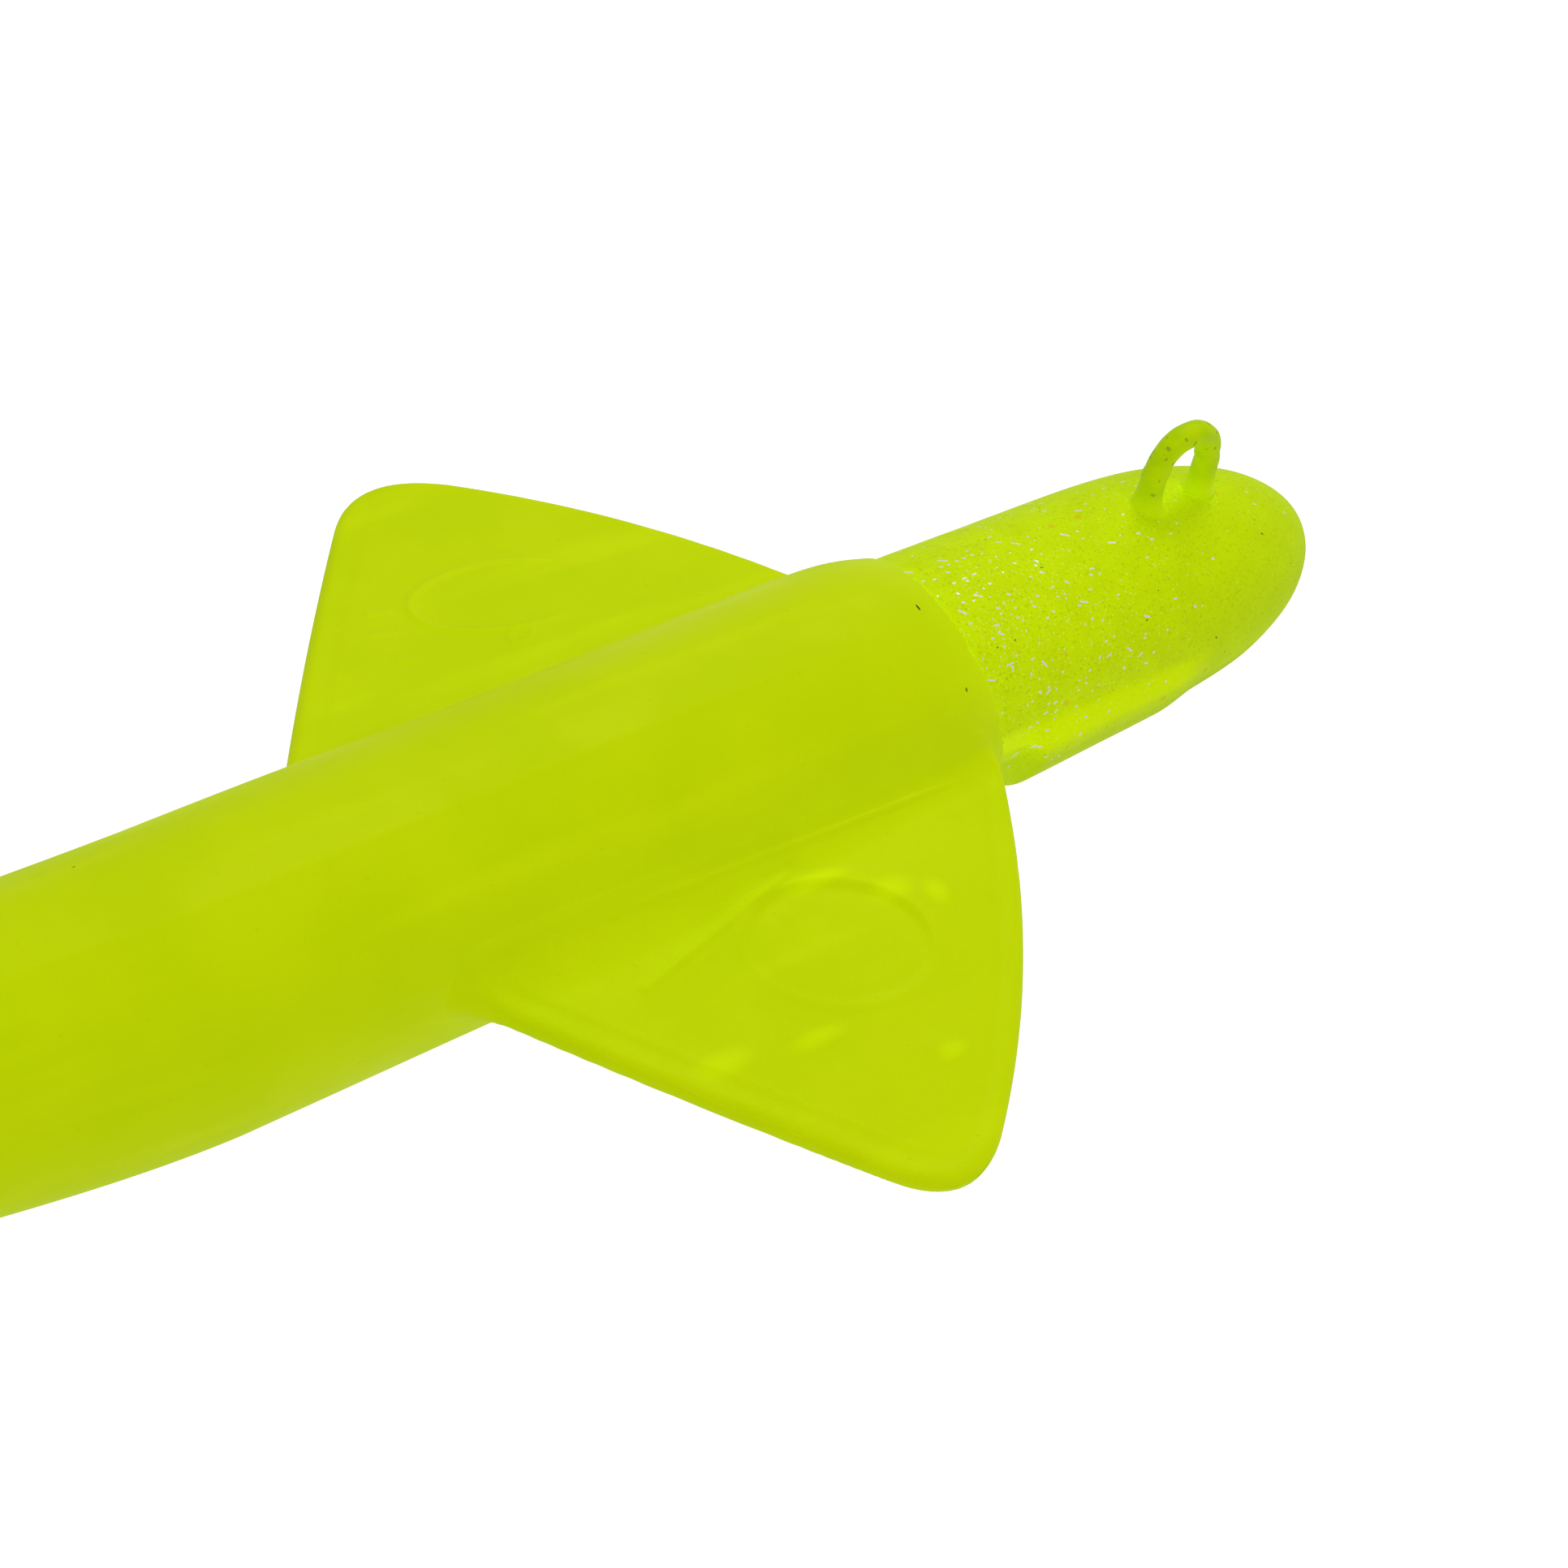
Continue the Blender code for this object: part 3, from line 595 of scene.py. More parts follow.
def head_point(x, angle):
    """A place on the painted head: a round top, and a chine that flares over a flat belly."""
    shaped = ramp(x, 4.2 * MM, 7.2 * MM)
    flare = CHINE_DEPTH - CHINE_THINNING * max(0.0, x - 7 * MM)
    flare *= shaped * (1 - ramp(x, *CHINE_FADE))
    floor = HEAD_RADIUS + (BELLY_DEPTH - HEAD_RADIUS) * shaped
    below = -math.degrees(math.atan2(math.sin(angle), abs(math.cos(angle))))
    lip = ramp(below, -7, 8) * (1 - ramp(below, 50, 75)) - 0.12 * hump(below, -8, 5)
    radius = head_radius(x) + flare * lip
    y, z = radius * math.cos(angle), radius * math.sin(angle)
    edge = 0.6 * MM
    if z < -floor + edge:
        over = -floor + edge - z
        z = -floor + edge - edge * (1 - math.exp(-over / edge))
    lump = noise.noise(Vector((x, y, z)) * 160) * 0.06 * MM
    way = Vector((0, math.cos(angle), math.sin(angle)))
    return at(x, y, z) + way * lump * ramp(radius, 0, 4 * MM)


def make_head():
    bm = bmesh.new()
    rear, rows, cap_rows, around = -10 * MM, 190, 8, 216
    turn = 0.62

    def place(row, angle):
        share = row / (rows - 1)
        if share < turn:
            x = rear + (HEAD_STRAIGHT - rear) * share / turn
            if row < cap_rows:
                return at(rear) + (head_point(rear, angle) - at(rear)) * (row / cap_rows)
            return head_point(x, angle)
        quarter = (share - turn) / (1 - turn) * math.pi / 2
        x = HEAD_STRAIGHT + HEAD_NOSE * math.sin(quarter)
        return head_point(x, angle) if row < rows - 1 else at(HEAD_LENGTH)

    wrap(bm, rows, around, place)
    return piece_from("painted_head", bm, GLITTER_PAINT, "painted_lead", "head", "lead_head")


def make_keeper_stem():
    """The bare stem behind the head, with rounded saw-tooth barbs."""
    profile = [(-9.6, 0), (-9.6, 7.0), (-17.6, 7.0)]
    for barb in range(3):
        front = -18.0 - 10.0 * barb
        profile += [(front, 7.4), (front - 0.4, 13.6), (front - 0.9, 13.7), (front - 5, 11.2)]
        profile += [(front - 9.4, 8.6)]
    profile += [(-48.4, 7.2), (-49.7, 6.6), (-50.0, 5.6), (-50.0, 1.95), (-49.0, 1.95), (-49.0, 0)]
    bm = bmesh.new()

    def place(row, angle):
        x, radius = profile[row]
        return at(x * MM, radius * MM * math.cos(angle), radius * MM * math.sin(angle))

    wrap(bm, len(profile), 64, place)
    stem = piece_from("keeper_stem", bm, BARE_LEAD, "painted_lead", "head", "lead_head")
    stem.data.set_sharp_from_angle(angle=math.radians(38))


def make_line_tie():
    """The painted wire loop: two legs whose paint swells where they enter the head."""
    arc_z = TIE_TOP - TIE_HALF_WIDTH
    foot = HEAD_RADIUS - 1.2 * MM
    leg_steps, leg_out = 8, TIE_HALF_WIDTH + 0.35 * MM
    heights = [foot + (arc_z - foot) * step / leg_steps for step in range(leg_steps)]
    path = [at(TIE_MIDDLE_X + leg_out, 0, z) for z in heights]
    path += arc(TIE_MIDDLE_X, arc_z, TIE_HALF_WIDTH, 0, math.pi, 40)
    path += [at(TIE_MIDDLE_X - leg_out, 0, z) for z in reversed(heights)]
    path = smooth_path(path, 5)
    radii = []
    for point in path:
        above = point.z - SEAM.z - head_radius(point.x - SEAM.x)
        swell = 0.42 * math.exp(-max(0.0, above) / (1.5 * MM))
        skirt = 0.5 * math.exp(-(above + 0.1 * MM) / (0.3 * MM))
        radii.append(TIE_WIRE + min(1.6, swell + skirt) * MM)
    radii[0] = radii[-1] = 0.0
    bm = bmesh.new()
    for vert in sweep(bm, path, radii, 40):
        place = vert.co * 420
        vert.co += Vector((0, 1, 0.3)) * noise.noise(place) * 0.10 * MM
        vert.co += Vector((1, 0, 0.5)) * noise.noise(place + Vector((9, 3, 5))) * 0.10 * MM
    piece_from("line_tie", bm, TIE_FINISH, "painted_wire", "head", "through_wire")


def make_through_wire():
    """The bare wire behind the head: a straight run to the tail eye, closed on itself."""
    eye_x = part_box("through_wire")[0].x - SEAM.x + 5.8 * MM
    radius, wire = 4.2 * MM, 1.6 * MM
    path = [at(-8 * MM), at(-50 * MM), at(-90 * MM), at(eye_x + 11 * MM)]
    path += [at(eye_x + 6.5 * MM, 0, -1.0 * MM), at(eye_x + 3.5 * MM, 0, -3.2 * MM)]
    path += arc(eye_x, 0, radius, -math.pi / 2, -math.radians(322), 14)
    path = smooth_path(path, 3)
    radii = [wire] * len(path)
    radii[0] = radii[-1] = 0.0
    radii[-2] = wire * 0.9
    bm = bmesh.new()
    sweep(bm, path, radii, 24)
    piece_from("through_wire_shaft", bm, STEEL, "tackle_steel", "head", "through_wire")


# Soft body --------------------------------------

def mantle_outer(x):
    if x > MANTLE_WIDEST:
        return MANTLE_FRONT_RADIUS + (MANTLE_RADIUS - MANTLE_FRONT_RADIUS) * x / MANTLE_WIDEST
    share = (x - MANTLE_WIDEST) / (MANTLE_END - MANTLE_WIDEST)
    return MANTLE_RADIUS - (MANTLE_RADIUS - MANTLE_REAR_RADIUS) * share**1.8


def mouth_taper(x):
    """How much thinner the mantle gets towards its rim."""
    return (MANTLE_FRONT_RADIUS - RIM_RADIUS) * math.exp(-((max(0.0, -x) / (5.0 * MM)) ** 1.25))


def mantle_sway(x):
    """How far the soft body leans to the squid's right at x."""
    if x > MANTLE_WIDEST:
        return -MANTLE_SAG * max(0.0, x / MANTLE_WIDEST)
    return -MANTLE_SAG * (1 - ramp(x, MANTLE_WIDEST, MANTLE_END))


def mantle_point(x, radius, angle, lip):
    """A place on the mantle. The rim is slanted and ragged, the back carries faint long ridges."""
    front = ramp(x, -28 * MM, 0)
    slant = -RIM_TILT * radius * math.sin(angle) * front
    around = Vector((math.cos(angle), math.sin(angle), 0))
    rag = noise.noise(around * 7) * 0.40 * MM + noise.noise(around * 26) * 0.30 * MM
    rag += noise.noise(around * 60) * 0.12 * MM
    ridge = 0.16 * MM * hump(angle, math.radians(106), 0.05) * ramp(-x, 25 * MM, 45 * MM)
    ridge -= 0.10 * MM * hump(angle, math.radians(84), 0.12) * ramp(-x, 15 * MM, 40 * MM)
    wave = noise.noise(Vector((x * 30, around.x * 0.9, around.y * 0.9))) * 0.22 * MM
    free = 1 - lip
    radius += (ridge + wave) * free * ramp(-x, 3 * MM, 12 * MM)
    y = radius * math.cos(angle) + mantle_sway(x)
    z = radius * math.sin(angle)
    return at(x + slant + rag * lip, y, z)


def make_mantle():
    stations = []
    lip_steps = 8
    for step in range(10):
        stations.append((-11 * MM + 10.6 * MM * step / 9, HEAD_RADIUS + 0.02 * MM, 0.0))
    for step in range(lip_steps + 1):
        turn = math.pi * step / lip_steps
        x = -0.35 * MM + 0.35 * MM * math.sin(turn)
        middle = (HEAD_RADIUS + RIM_RADIUS) / 2
        stations.append((x, middle - (RIM_RADIUS - HEAD_RADIUS) / 2 * math.cos(turn), 1.0))
    rows = 190
    for step in range(1, rows + 1):
        share = step / rows
        x = -0.35 * MM + (MANTLE_END + 0.7 * MM) * share**1.15
        stations.append((x, mantle_outer(x) - mouth_taper(x), math.exp(x / (0.5 * MM))))
    rear_x = stations[-1][0]
    rear_outer = stations[-1][1]
    for step in range(1, lip_steps + 1):
        turn = math.pi * step / lip_steps
        middle = (rear_outer + MANTLE_BORE) / 2
        radius = middle + (rear_outer - MANTLE_BORE) / 2 * math.cos(turn)
        stations.append((rear_x - 0.6 * MM * math.sin(turn), radius, 0.0))
    for step in range(1, 16):
        x = rear_x + (-12 * MM - rear_x) * step / 16
        stations.append((x, MANTLE_BORE, 0.0))
    bm = bmesh.new()

    def place(row, angle):
        x, radius, lip = stations[row]
        return mantle_point(x, radius, angle, lip)

    wrap(bm, len(stations), 224, place, loop=True)
    piece_from("mantle_skin", bm, SOFT_PLASTIC, "soft_plastic", "head", "mantle")


def bent(start, control, end, first, last, steps):
    shares = np.linspace(first, last, steps)[:, None]
    return start * (1 - shares) ** 2 + control * 2 * shares * (1 - shares) + end * shares**2


def fin_edges(front_x, rear_x, tip, corner):
    """A fin's front and rear edges from root to tip, as (x, distance from the hinge line)."""
    root = -1.5
    front, rear, tip = (np.array(place) * MM for place in ((front_x, root), (rear_x, root), tip))
    bulge, hollow = 4.2 * MM, 0.6 * MM
    front_way = (tip - front) / np.linalg.norm(tip - front)
    rear_way = (rear - tip) / np.linalg.norm(rear - tip)
    front_control = (front + tip) / 2 + np.array((front_way[1], -front_way[0])) * 2 * bulge
    rear_control = (rear + tip) / 2 + np.array((rear_way[1], -rear_way[0])) * 2 * hollow
    front_edge = bent(front, front_control, tip, 0, 1 - corner, 120)
    rear_edge = bent(tip, rear_control, rear, corner, 1, 120)
    outline = np.concatenate([front_edge, bent(front_edge[-1], tip, rear_edge[0], 0, 1, 80), rear_edge])
    top = int(outline[:, 1].argmax())
    return outline[: top + 1], outline[top:][::-1]


DEEP_ROOT = np.array((0, -9 * MM))


# Raised lines on the fins: height, width, then the points it runs through, all in millimetres.
RIGHT_FIN_LINES = (
    (0.46, 0.5, (-65.4, 7.7), (-55.4, 5.2), (-49, 3.6), (-40, 1.4)),
    (0.16, 1.2, (-65, 8.8), (-55, 6.3), (-48.6, 4.7)),
    (0.14, 0.8, (-43.4, 5.6), (-42.6, 7.4), (-43.6, 9.6)),
    (0.20, 1.7, (-65, 19.6), (-60, 21)),
    (0.16, 1.5, (-52, 21.2), (-47.5, 23)),
    (0.18, 1.8, (-37, 29.5), (-33.8, 31.4)),
    (0.18, 1.7, (-24.5, 10.6), (-22.6, 12)),
    (0.12, 1.0, (-63, 26), (-55, 33.6)),
)
LEFT_FIN_LINES = (
    (0.24, 0.45, (-59.6, 21.4), (-57, 20.4)),
    (0.24, 0.45, (-61, 11.8), (-59, 10.2)),
    (0.18, 0.45, (-61.4, 17.4), (-58.6, 16.2)),
)


def trail(x, w, points, width):
    """How strongly a place lies on a line through the points, which are in millimetres."""
    place = Vector((x, w)) / MM
    nearest = 9.0
    for first, second in zip(points, points[1:]):
        start, run = Vector(first), Vector(second) - Vector(first)
        share = min(1.0, max(0.0, (place - start).dot(run) / run.length_squared))
        nearest = min(nearest, (place - start - run * share).length)
    return hump(nearest, 0, width)


def lines_relief(x, w, lines):
    return sum(height * trail(x, w, points, width) for height, width, *points in lines)


def oval_line(x, w, middle, halves, lean, width, slope=None):
    """How strongly a place lies on the line of a leaning oval, all in millimetres. A slope
    makes the line fall away more slowly on its outer side."""
    dx, dw = x / MM - middle[0], w / MM - middle[1]
    along = (dx * math.cos(lean) + dw * math.sin(lean)) / halves[0]
    across = (dw * math.cos(lean) - dx * math.sin(lean)) / halves[1]
    off = (math.hypot(along, across) - 1) * sum(halves) / 2
    return hump(off, 0, slope if slope and off > 0 else width)


def right_fin_relief(x, w):
    middle, lean = (-39.4, 12.2), 0.36
    upper = ramp(12 - w / MM + (x / MM + 39) * 0.4, -6, 5)
    height = (0.14 + 0.42 * upper) * oval_line(x, w, middle, (12.5, 8.9), lean, 0.65, 1.3)
    height -= 0.08 * oval_line(x, w, middle, (11.0, 7.4), lean, 1.0)
    height += 0.05 * (1 - upper) * oval_line(x, w, middle, (15.0, 11.4), lean, 1.0)
    return height + lines_relief(x, w, RIGHT_FIN_LINES)


def left_fin_relief(x, w):
    middle = (-42.2, 16.4)
    broken = 1 - hump(math.atan2(w / MM - middle[1], x / MM - middle[0]), -0.5, 0.75)
    height = 0.32 * broken * oval_line(x, w, middle, (12.6, 6.8), -0.2, 0.5)
    height += 0.22 * oval_line(x, w, (-44.6, 8.4), (1.7, 1.2), 0.2, 0.4)
    return height + lines_relief(x, w, LEFT_FIN_LINES)


def root_rise(x, y, side):
    """How far a fin's faces stand beyond its blade at y, where a round fillet runs into the
    mantle and then follows it just under its skin. Here y is measured outward."""
    fillet = (4.6 + 2.2 * ramp(-x, 15 * MM, 80 * MM)) * MM
    half = FIN_THICKNESS / 2
    radius = mantle_outer(x) - mouth_taper(x)
    y -= side * mantle_sway(x)
    foot = math.sqrt((radius + fillet) ** 2 - (half + fillet) ** 2)
    if y >= foot:
        return 0.0
    tangent = foot * radius / (radius + fillet)
    if y >= tangent:
        return fillet - math.sqrt(fillet**2 - (foot - y) ** 2)
    under = radius - 0.35 * (tangent - y)
    return math.sqrt(under**2 - y**2) - half


def make_fin(name, side, droop, edges):
    """A moulded fin: a fillet out of the mantle's flank, then a thin blade with a bead inside
    its edge. w is the distance outward from the line that it flexes on."""
    rows, root_rows, around = 206, 66, 440
    root_w, blade_w = 15.6 * MM - FIN_HINGE_Y, 3.4 * MM
    relief = left_fin_relief if side > 0 else right_fin_relief
    bead_share = 0.45 if side > 0 else 1.0
    fore, aft = edges
    reach = float(fore[-1, 1])
    outline = np.concatenate([[fore[0] + DEEP_ROOT], fore, aft[::-1], [aft[0] + DEEP_ROOT]])
    bm = bmesh.new()
    columns = []
    for row in range(rows):
        if row < root_rows:
            w = root_w + (blade_w - root_w) * row / root_rows
        else:
            share = (row - root_rows) / (rows - 1 - root_rows)
            w = blade_w + (reach - blade_w) * (1 - (1 - share) ** 1.5)
        front = float(np.interp(w, fore[:, 1], fore[:, 0]))
        rear = float(np.interp(w, aft[:, 1], aft[:, 0]))
        angles = 2 * np.pi * np.arange(around) / around
        spread = 0.45 * (1 - np.abs(angles / np.pi - 1)) + 0.55 * (1 - np.cos(angles)) / 2
        xs = front + (rear - front) * spread
        gaps = np.hypot(xs[:, None] - outline[:, 0], w - outline[:, 1]).min(axis=1)
        gaps = np.minimum(gaps, np.minimum(front - xs, xs - rear))
        columns.append((w, xs.tolist(), np.maximum(gaps, 0).tolist(), spread.tolist()))

    def place(row, angle):
        w, xs, gaps, spread = columns[row]
        column = round(angle * around / (2 * math.pi)) % around
        x, edge, chord = xs[column], gaps[column], spread[column]
        upper = angle < math.pi
        y = FIN_HINGE_Y + w
        rise = root_rise(x, y, side)
        share = min(1.0, edge / (1.3 * MM + 0.8 * rise))
        round_edge = math.sqrt(max(0.0, 1 - (1 - share) ** 2))
        height = (FIN_THICKNESS / 2 + rise) * round_edge
        bead = 0.15 * hump(edge, 1.6 * MM, 1.0 * MM) - 0.06 * hump(edge, 3.4 * MM, 0.8 * MM)
        bead += 0.07 * hump(edge, 4.6 * MM, 0.7 * MM) * ramp(-x, 40 * MM, 52 * MM)
        wave = noise.noise(Vector((x, w, side * 0.02)) * 60) * 0.22
        wave += noise.noise(Vector((x, w, side * 0.03)) * 190) * 0.05
        blade = ramp(w, 0.0, 3 * MM)
        proud = bead * blade * bead_share
        proud += wave * ramp(edge, 2 * MM, 8 * MM) * ramp(w, -2 * MM, 3 * MM)
        if upper:
            proud += relief(x, w) * blade
            line = hump(w, -1.0 * MM, 0.34 * MM) * ramp(x, -74 * MM, -52 * MM)
            proud += 0.30 * line * (1 - ramp(x, -20 * MM, -8 * MM))
        height += proud * share * MM
        if not upper:
            height = -height
        x += rise * (0.30 * max(0.0, 1 - chord / 0.2) ** 2 - 0.8 * max(0.0, (chord - 0.8) / 0.2) ** 2)
        turn = droop * ramp(w, -4 * MM, 4 * MM)
        out = FIN_HINGE_Y + w * math.cos(turn) + height * math.sin(turn)
        return at(x, side * out, height * math.cos(turn) - w * math.sin(turn))

    wrap(bm, rows, around, place)
    loops = [edge for edge in bm.edges if edge.is_boundary]
    bmesh.ops.holes_fill(bm, edges=loops, sides=around + 1)
    piece = piece_from(name + "_skin", bm, SOFT_PLASTIC, "soft_plastic", None, name)
    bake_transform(piece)


# Squid head, eyes and arms ----------------------

CROWN_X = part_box("squid_head")[0].x - SEAM.x
SWELL = ((-148, 14.2), (-165.6, 14.2), (-168, 15.0), (-172, 15.75), (-176, 16.0), (-180, 15.8),
         (-184, 15.2), (-187.6, 14.6), (-189.3, 13.9), (-190, 12.8))
BORE = ((-190, 9.0), (-189.2, 8.3), (-184, 8.2), (-181, 10.4), (-148, 10.5))

ARM_RING_RADIUS = 11.1 * MM
ARM_RADIUS = 2.9 * MM
ARM_LENGTH = 85 * MM
TENTACLE_LENGTH = 105 * MM
ARM_COUNT = 10
TENTACLES = {2: "left_tentacle", 7: "right_tentacle"}
TOP_GAP = math.radians(60)


def along_profile(profile, rows):
    """Evenly spaced places along a smooth line through the profile's (x, radius) pairs."""
    points = smooth_path([Vector((x * MM, radius * MM, 0)) for x, radius in profile], 12)
    lengths = [0.0]
    for first, second in zip(points, points[1:]):
        lengths.append(lengths[-1] + (second - first).length)
    steps = np.linspace(0, lengths[-1], rows)
    xs = np.interp(steps, lengths, [point.x for point in points])
    radii = np.interp(steps, lengths, [point.y for point in points])
    return list(zip(xs.tolist(), radii.tolist()))


def eye_socket(x, y, z):
    """Moves a place on the squid's head into the eye's seat or up its moulded lid."""
    off = math.hypot(x - EYE_X, z)
    if off > 11 * MM:
        return y
    seat = EYE_SEAT_Y - 0.25 * MM
    lid = 1.15 * MM * hump(off, EYE_RADIUS + 1.0 * MM, 1.0 * MM)
    brow = 0.5 * MM * hump(off, EYE_RADIUS + 2.6 * MM, 2.2 * MM)
    raised = abs(y) + lid + brow
    inside = 1 - ramp(off, EYE_RADIUS - 0.1 * MM, EYE_RADIUS + 0.35 * MM)
    return math.copysign(raised + (seat - raised) * inside, y)


def make_squid_head():
    """The squid's own head: a neck inside the mantle's mouth and a swell with two eye seats."""
    outer_rows = 190
    stations = along_profile(SWELL, outer_rows) + along_profile(BORE, 60)
    bm = bmesh.new()

    def place(row, angle):
        x, radius = stations[row]
        y, z = radius * math.cos(angle), radius * math.sin(angle)
        if row < outer_rows and x < -166 * MM:
            lump = noise.noise(Vector((x, y, z)) * 95) * 0.35 * MM * ramp(-x, 166 * MM, 172 * MM)
            y += lump * math.cos(angle)
            z += lump * math.sin(angle)
            if abs(y) > 8 * MM:
                y = eye_socket(x, y, z)
        return at(x, y, z)

    wrap(bm, len(stations), 288, place, loop=True)
    piece_from("squid_head_skin", bm, SOFT_PLASTIC, "soft_plastic", "head", "squid_head")


def make_eye(name, side):
    """A domed, glossy eye on its seat, with a fine turned edge."""
    stations = [(0.0, 0.0), (EYE_RADIUS - 0.25 * MM, 0.0), (EYE_RADIUS - 0.05 * MM, 0.15 * MM)]
    steps = 26
    for step in range(steps + 1):
        turn = math.pi / 2 * step / steps
        height = 0.5 * MM + (EYE_HEIGHT - 0.5 * MM) * math.sin(turn)
        stations.append((EYE_RADIUS * math.cos(turn) if step < steps else 0.0, height))
    bm = bmesh.new()

    def place(row, angle):
        radius, height = stations[row]
        return at(
            EYE_X + radius * math.cos(angle),
            side * (EYE_SEAT_Y + height),
            radius * math.sin(angle),
        )

    wrap(bm, len(stations), 64, place)
    piece_from(name + "_lens", bm, EYE_FINISH, "eye_plastic", "head", name)


def arm_angle(index):
    """Where arm or tentacle number index stands on the crown, from +Y towards +Z."""
    step = (2 * math.pi - TOP_GAP) / (ARM_COUNT - 1)
    return math.pi / 2 - TOP_GAP / 2 - index * step


def sucker_relief(along, around, spacing, radius):
    """Height of two staggered rows of cupped suckers; around is measured from the inner side."""
    height = 0.0
    for side in (-1, 1):
        shift = 0.5 * spacing if side > 0 else 0.0
        nearest = round((along - shift) / spacing) * spacing + shift
        off = math.hypot(along - nearest, around - side * radius * 1.15)
        height += 0.42 * MM * hump(off, radius * 0.62, radius * 0.34)
    return height


def make_arm(name, index, length, club):
    """A tapering arm rooted in the crown, cupped suckers along its inner side. A tentacle is
    slim, and carries its suckers on a leaf-shaped club near its end."""
    angle = arm_angle(index)
    rows = 330 if club else 290
    around = 48
    root = CROWN_X - ARM_RADIUS - 0.3 * MM
    lead = 5.2 * MM
    inward = math.atan2(-math.sin(angle), -math.cos(angle))
    phase = 1.7 * index
    bm = bmesh.new()

    def place(row, turn):
        share = row / (rows - 1)
        along = -lead + (length + lead) * share
        t = max(0.0, along / length)
        swell = club * hump(t, 0.86, 0.09)
        radius = ARM_RADIUS * ((1 - 0.68 * t) * (1 - 0.45 * club) + 0.55 * swell)
        radius += 0.45 * MM * math.exp(-max(0.0, along + ARM_RADIUS) / (1.6 * MM))
        end = min(1.0, max(0.0, (length - along) / (1.1 * MM)))
        radius *= math.sqrt(max(0.0, 1 - (1 - end) ** 2))
        if row == 0:
            radius = 0.0
        wave = 0.55 * MM * t * math.sin(2.2 * math.pi * t + phase)
        y = ARM_RING_RADIUS * math.cos(angle) * (1 + 0.9 * t) + wave * math.sin(angle)
        z = ARM_RING_RADIUS * math.sin(angle) * (1 + 0.25 * t) - wave * math.cos(angle)
        off = (turn - inward + math.pi) % (2 * math.pi) - math.pi
        if 1.5 * MM < along < length - 4 * MM:
            size = max(0.35 * MM, radius * 0.36)
            fade = ramp(t, 0.62, 0.72) if club else ramp(along, 2 * MM, 6 * MM)
            radius += fade * sucker_relief(along, off * radius, 2.1 * MM, size)
        keel = 0.12 * radius * hump(off, 0, 0.9)
        ripple = noise.noise(Vector((along * 160, turn, index))) * 0.05 * MM
        reach = radius - keel + ripple * min(1.0, radius / MM)
        return at(root - along, y + reach * math.cos(turn), z + reach * math.sin(turn))

    wrap(bm, rows, around, place)
    piece = piece_from(name + "_skin", bm, SOFT_PLASTIC, "soft_plastic", None, name)
    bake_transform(piece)


def make_arms():
    arm_number = 0
    for index in range(ARM_COUNT):
        if index in TENTACLES:
            make_arm(TENTACLES[index], index, TENTACLE_LENGTH, 1)
        else:
            arm_number += 1
            make_arm(f"arm_{arm_number}", index, ARM_LENGTH, 0)


# Swivel, split ring and hook --------------------

def turned(bm, profile, around):
    """A solid turned about the jig's axis from (x, radius) pairs in metres."""
    def place(row, angle):
        x, radius = profile[row]
        return at(x, radius * math.cos(angle), radius * math.sin(angle))

    wrap(bm, len(profile), around, place, loop=profile[0][1] > 0)


def wire_ring(centre_x, radius, flat, steps):
    """Places round a ring on the jig's axis, lying flat or standing upright."""
    path = []
    for step in range(steps):
        angle = 2 * math.pi * step / steps
        other = radius * math.sin(angle)
        path.append(at(centre_x + radius * math.cos(angle), other * flat, other * (1 - flat)))
    return path


def make_swivel_eye(name, body, eye_x, barrel_end, inward, flat):
    """A wire eye, its stem, and the headed end that turns inside the barrel."""
    radius, wire = 3.0 * MM, 0.9 * MM
    bm = bmesh.new()
    sweep(bm, wire_ring(eye_x, radius, flat, 48), [wire] * 48, 20, loop=True)
    start = eye_x + inward * radius
    knob = barrel_end + inward * 1.5 * MM
    stem = ((0, 0), (0, 0.72), (0.5, 1.215), (1.2, 0.9))
    head = ((0, 0.9), (0, 1.55), (0.15, 1.7), (2.2, 1.7), (2.5, 1.4), (2.5, 0))
    profile = [(start + inward * x * MM, radius * MM) for x, radius in stem]
    profile += [(knob + inward * x * MM, radius * MM) for x, radius in head]
    turned(bm, profile, 32)
    piece_from(name + "_wire", bm, STEEL, "tackle_steel", body, name)


def make_barrel(front, rear):
    """The swivel's barrel: necked ends over a chamber, with a rolled bead at each mouth."""
    bore, chamber, lip = 1.25 * MM, 2.2 * MM, 1.1 * MM
    outer = [(0.0, 1.65), (-0.12, 1.9), (-0.5, 2.0), (-0.8, 1.85), (-1.1, 2.1), (-1.7, 2.8), (-2.3, 3.0)]
    profile = [(front + x * MM, radius * MM) for x, radius in outer]
    profile += [(rear - x * MM, radius * MM) for x, radius in reversed(outer)]
    mouth = [(0.0, bore + 0.1 * MM), (0.1 * MM, bore), (lip, bore), (lip, chamber)]
    profile += [(rear + x, radius) for x, radius in mouth]
    profile += [(front - x, radius) for x, radius in reversed(mouth)]
    bm = bmesh.new()
    turned(bm, profile, 48)
    name = "swivel_barrel"
    barrel = piece_from(name + "_shell", bm, STEEL, "tackle_steel", name, name)
    barrel.data.set_sharp_from_angle(angle=math.radians(50))


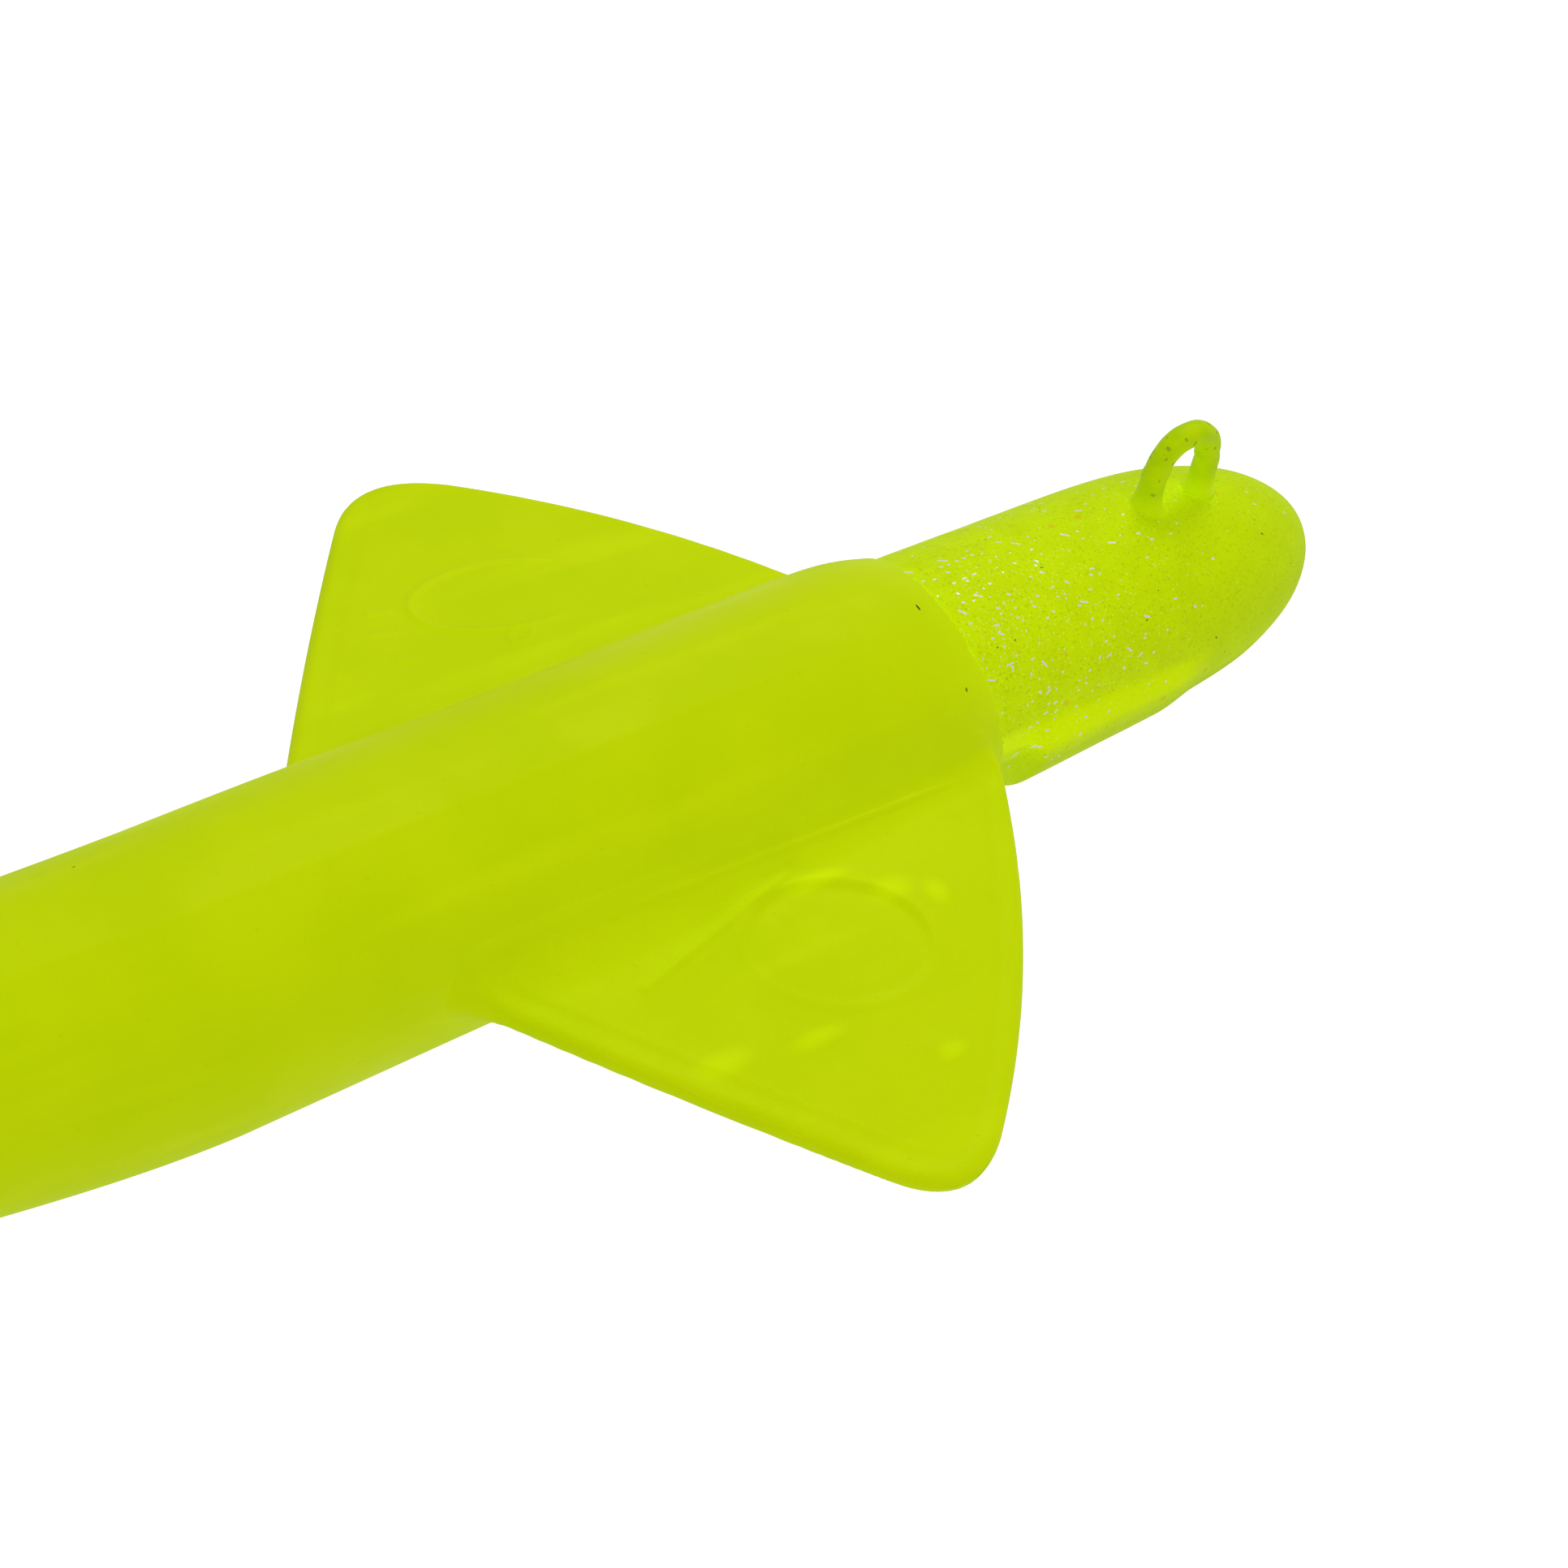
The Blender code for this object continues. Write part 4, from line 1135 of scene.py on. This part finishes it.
def make_split_ring(centre_x):
    """Two flat-lying turns of wire, one on the other, each end cut square."""
    radius, wire = 5.0 * MM, 0.53 * MM
    turns, per_turn = 2.0, 56
    count = int(turns * per_turn)
    path = []
    for step in range(count + 1):
        angle = 2 * math.pi * step / per_turn + 0.6
        lift = -0.55 * MM + 1.1 * MM * ramp(step / count, 0.42, 0.58)
        path.append(at(centre_x + radius * math.cos(angle), radius * math.sin(angle), lift))
    radii = [wire] * len(path)
    radii[0] = radii[-1] = 0.0
    bm = bmesh.new()
    sweep(bm, path, radii, 20)
    piece_from("split_ring_coil", bm, STEEL, "tackle_steel", "split_ring", "split_ring")


def make_hook(eye_x):
    """A J hook of forged wire: a closed eye, a straight shank, a round bend and a barbed point."""
    wire, eye_radius, bend_x, bend_radius = 1.7 * MM, 3.6 * MM, -226 * MM, 14 * MM
    tip_x = bend_x + 23 * MM
    path = arc(eye_x, 0, eye_radius, math.radians(-168), math.radians(150), 34)
    path += [at(eye_x - eye_radius - 1.6 * MM, 0, 0.55 * MM)]
    path += [at(eye_x - eye_radius - 5 * MM)]
    path += [at(x * MM) for x in range(-166, -222, -6)]
    path += arc(bend_x, bend_radius, bend_radius, -math.pi / 2, -math.pi * 3 / 2, 44)
    top = 2 * bend_radius
    leg = 12
    for step in range(1, leg + 1):
        share = step / leg
        path.append(at(bend_x + (tip_x - bend_x) * share, 0, top - 0.6 * MM * share**2))
    count = len(path)
    radii = []
    for index in range(count):
        to_tip = (count - 1 - index) / leg
        radii.append(wire * min(1.0, 1.25 * max(0.0, to_tip) ** 0.62))
    radii[0] = 0.0
    bm = bmesh.new()
    for vert in sweep(bm, path, radii, 28):
        x = vert.co.x - SEAM.x
        forged = 1 - ramp(x, bend_x + 4 * MM, bend_x + 24 * MM)
        vert.co.y *= 1 - 0.16 * forged
    barb = ((5.5, 1.05), (7.5, 1.55), (10, 2.5), (12.4, 3.5))
    blade = smooth_path([at(tip_x - back * MM, 0, top - down * MM) for back, down in barb], 6)
    sizes = [0.9 * MM * (1 - index / (len(blade) - 1)) ** 0.8 for index in range(len(blade))]
    sizes[0] = 0.0
    for vert in sweep(bm, blade, sizes, 16):
        vert.co.y *= 0.7
    piece_from("hook_wire", bm, BLACK_NICKEL, "hook_steel", "hook", "hook")


make_head()
make_keeper_stem()
make_line_tie()
make_through_wire()
make_mantle()
make_fin("left_fin", 1, math.radians(3), fin_edges(-3.5, -86, (-45.4, 48.6), 0.2))
make_fin("right_fin", -1, math.radians(12), fin_edges(-3.2, -87, (-44.6, 49.9), 0.16))
make_squid_head()
make_eye("left_eye", 1)
make_eye("right_eye", -1)
make_arms()
make_swivel_eye("swivel_front_eye", "swivel_front", SWIVEL_FRONT_X, BARREL_FRONT_X, -1, True)
make_swivel_eye("swivel_rear_eye", "swivel_rear", SWIVEL_REAR_X, BARREL_REAR_X, 1, False)
make_barrel(BARREL_FRONT_X, BARREL_REAR_X)
make_split_ring(SPLIT_RING_X)
make_hook(HOOK_EYE_X)


# Studio -----------------------------------------

FLOOR_DROP = 50 * MM


def make_floor():
    """A pale floor, low enough that a drooping fin or arm never reaches it."""
    bm = bmesh.new()
    bmesh.ops.create_grid(bm, x_segments=1, y_segments=1, size=3.0)
    bmesh.ops.translate(bm, verts=bm.verts, vec=(0, 0, CAD_BOX[0].z - FLOOR_DROP))
    made, g, shader, place = material("floor_paper", 0.9)
    grain = g.noise(place, 60.0)
    g.put(shader["Base Color"], g.mix(grain, (0.24, 0.24, 0.24, 1), (0.26, 0.26, 0.26, 1)))
    shader["Emission Color"].default_value = (1, 1, 1, 1)
    seen = g.add("ShaderNodeLightPath").outputs["Is Camera Ray"]
    g.put(shader["Emission Strength"], g.band(seen, 0.0, 1.0, FLOOR_GLOW, 1.0))
    show("floor", bm, made)


def make_light(name, place, size, power):
    data = bpy.data.lights.new(name, "AREA")
    data.shape = "DISK"
    data.size = size
    data.energy = power
    light = bpy.data.objects.new(name, data)
    light.location = place
    light.rotation_mode = "QUATERNION"
    light.rotation_quaternion = (Vector(place) * -1).to_track_quat("-Z", "Y")
    bpy.context.scene.collection.objects.link(light)


def make_camera():
    a, e = CAMERA_AZIMUTH, CAMERA_ELEVATION
    back = Vector((math.sin(a) * math.cos(e), -math.cos(a) * math.cos(e), math.sin(e)))
    level = Vector((math.cos(a), math.sin(a), 0))
    up = back.cross(level)
    right = level * math.cos(CAMERA_ROLL) + up * math.sin(CAMERA_ROLL)
    top = up * math.cos(CAMERA_ROLL) - level * math.sin(CAMERA_ROLL)
    data = bpy.data.cameras.new("camera")
    data.lens = CAMERA_LENS
    data.clip_start = 0.01
    camera = bpy.data.objects.new("camera", data)
    turn = Matrix((right, top, back)).transposed().to_4x4()
    camera.matrix_world = Matrix.Translation(SEAM + CAMERA_AIM + back * CAMERA_DISTANCE) @ turn
    bpy.context.scene.collection.objects.link(camera)
    bpy.context.scene.camera = camera


def make_world():
    world = bpy.data.worlds.new("studio")
    world.use_nodes = True
    background = world.node_tree.nodes["Background"].inputs
    background["Color"].default_value = (1, 1, 1, 1)
    g = Graph(world.node_tree)
    seen = g.add("ShaderNodeLightPath").outputs["Is Camera Ray"]
    g.put(background["Strength"], g.band(seen, 0.0, 1.0, SKY_STRENGTH, 1.0))
    bpy.context.scene.world = world
    bpy.context.scene.view_settings.view_transform = "Standard"


make_floor()
make_light("key", (0.26, 0.26, 0.70), 0.34, 1.65)
make_light("fill", (-0.16, -0.50, 0.56), 0.5, 1.0)
make_camera()
make_world()
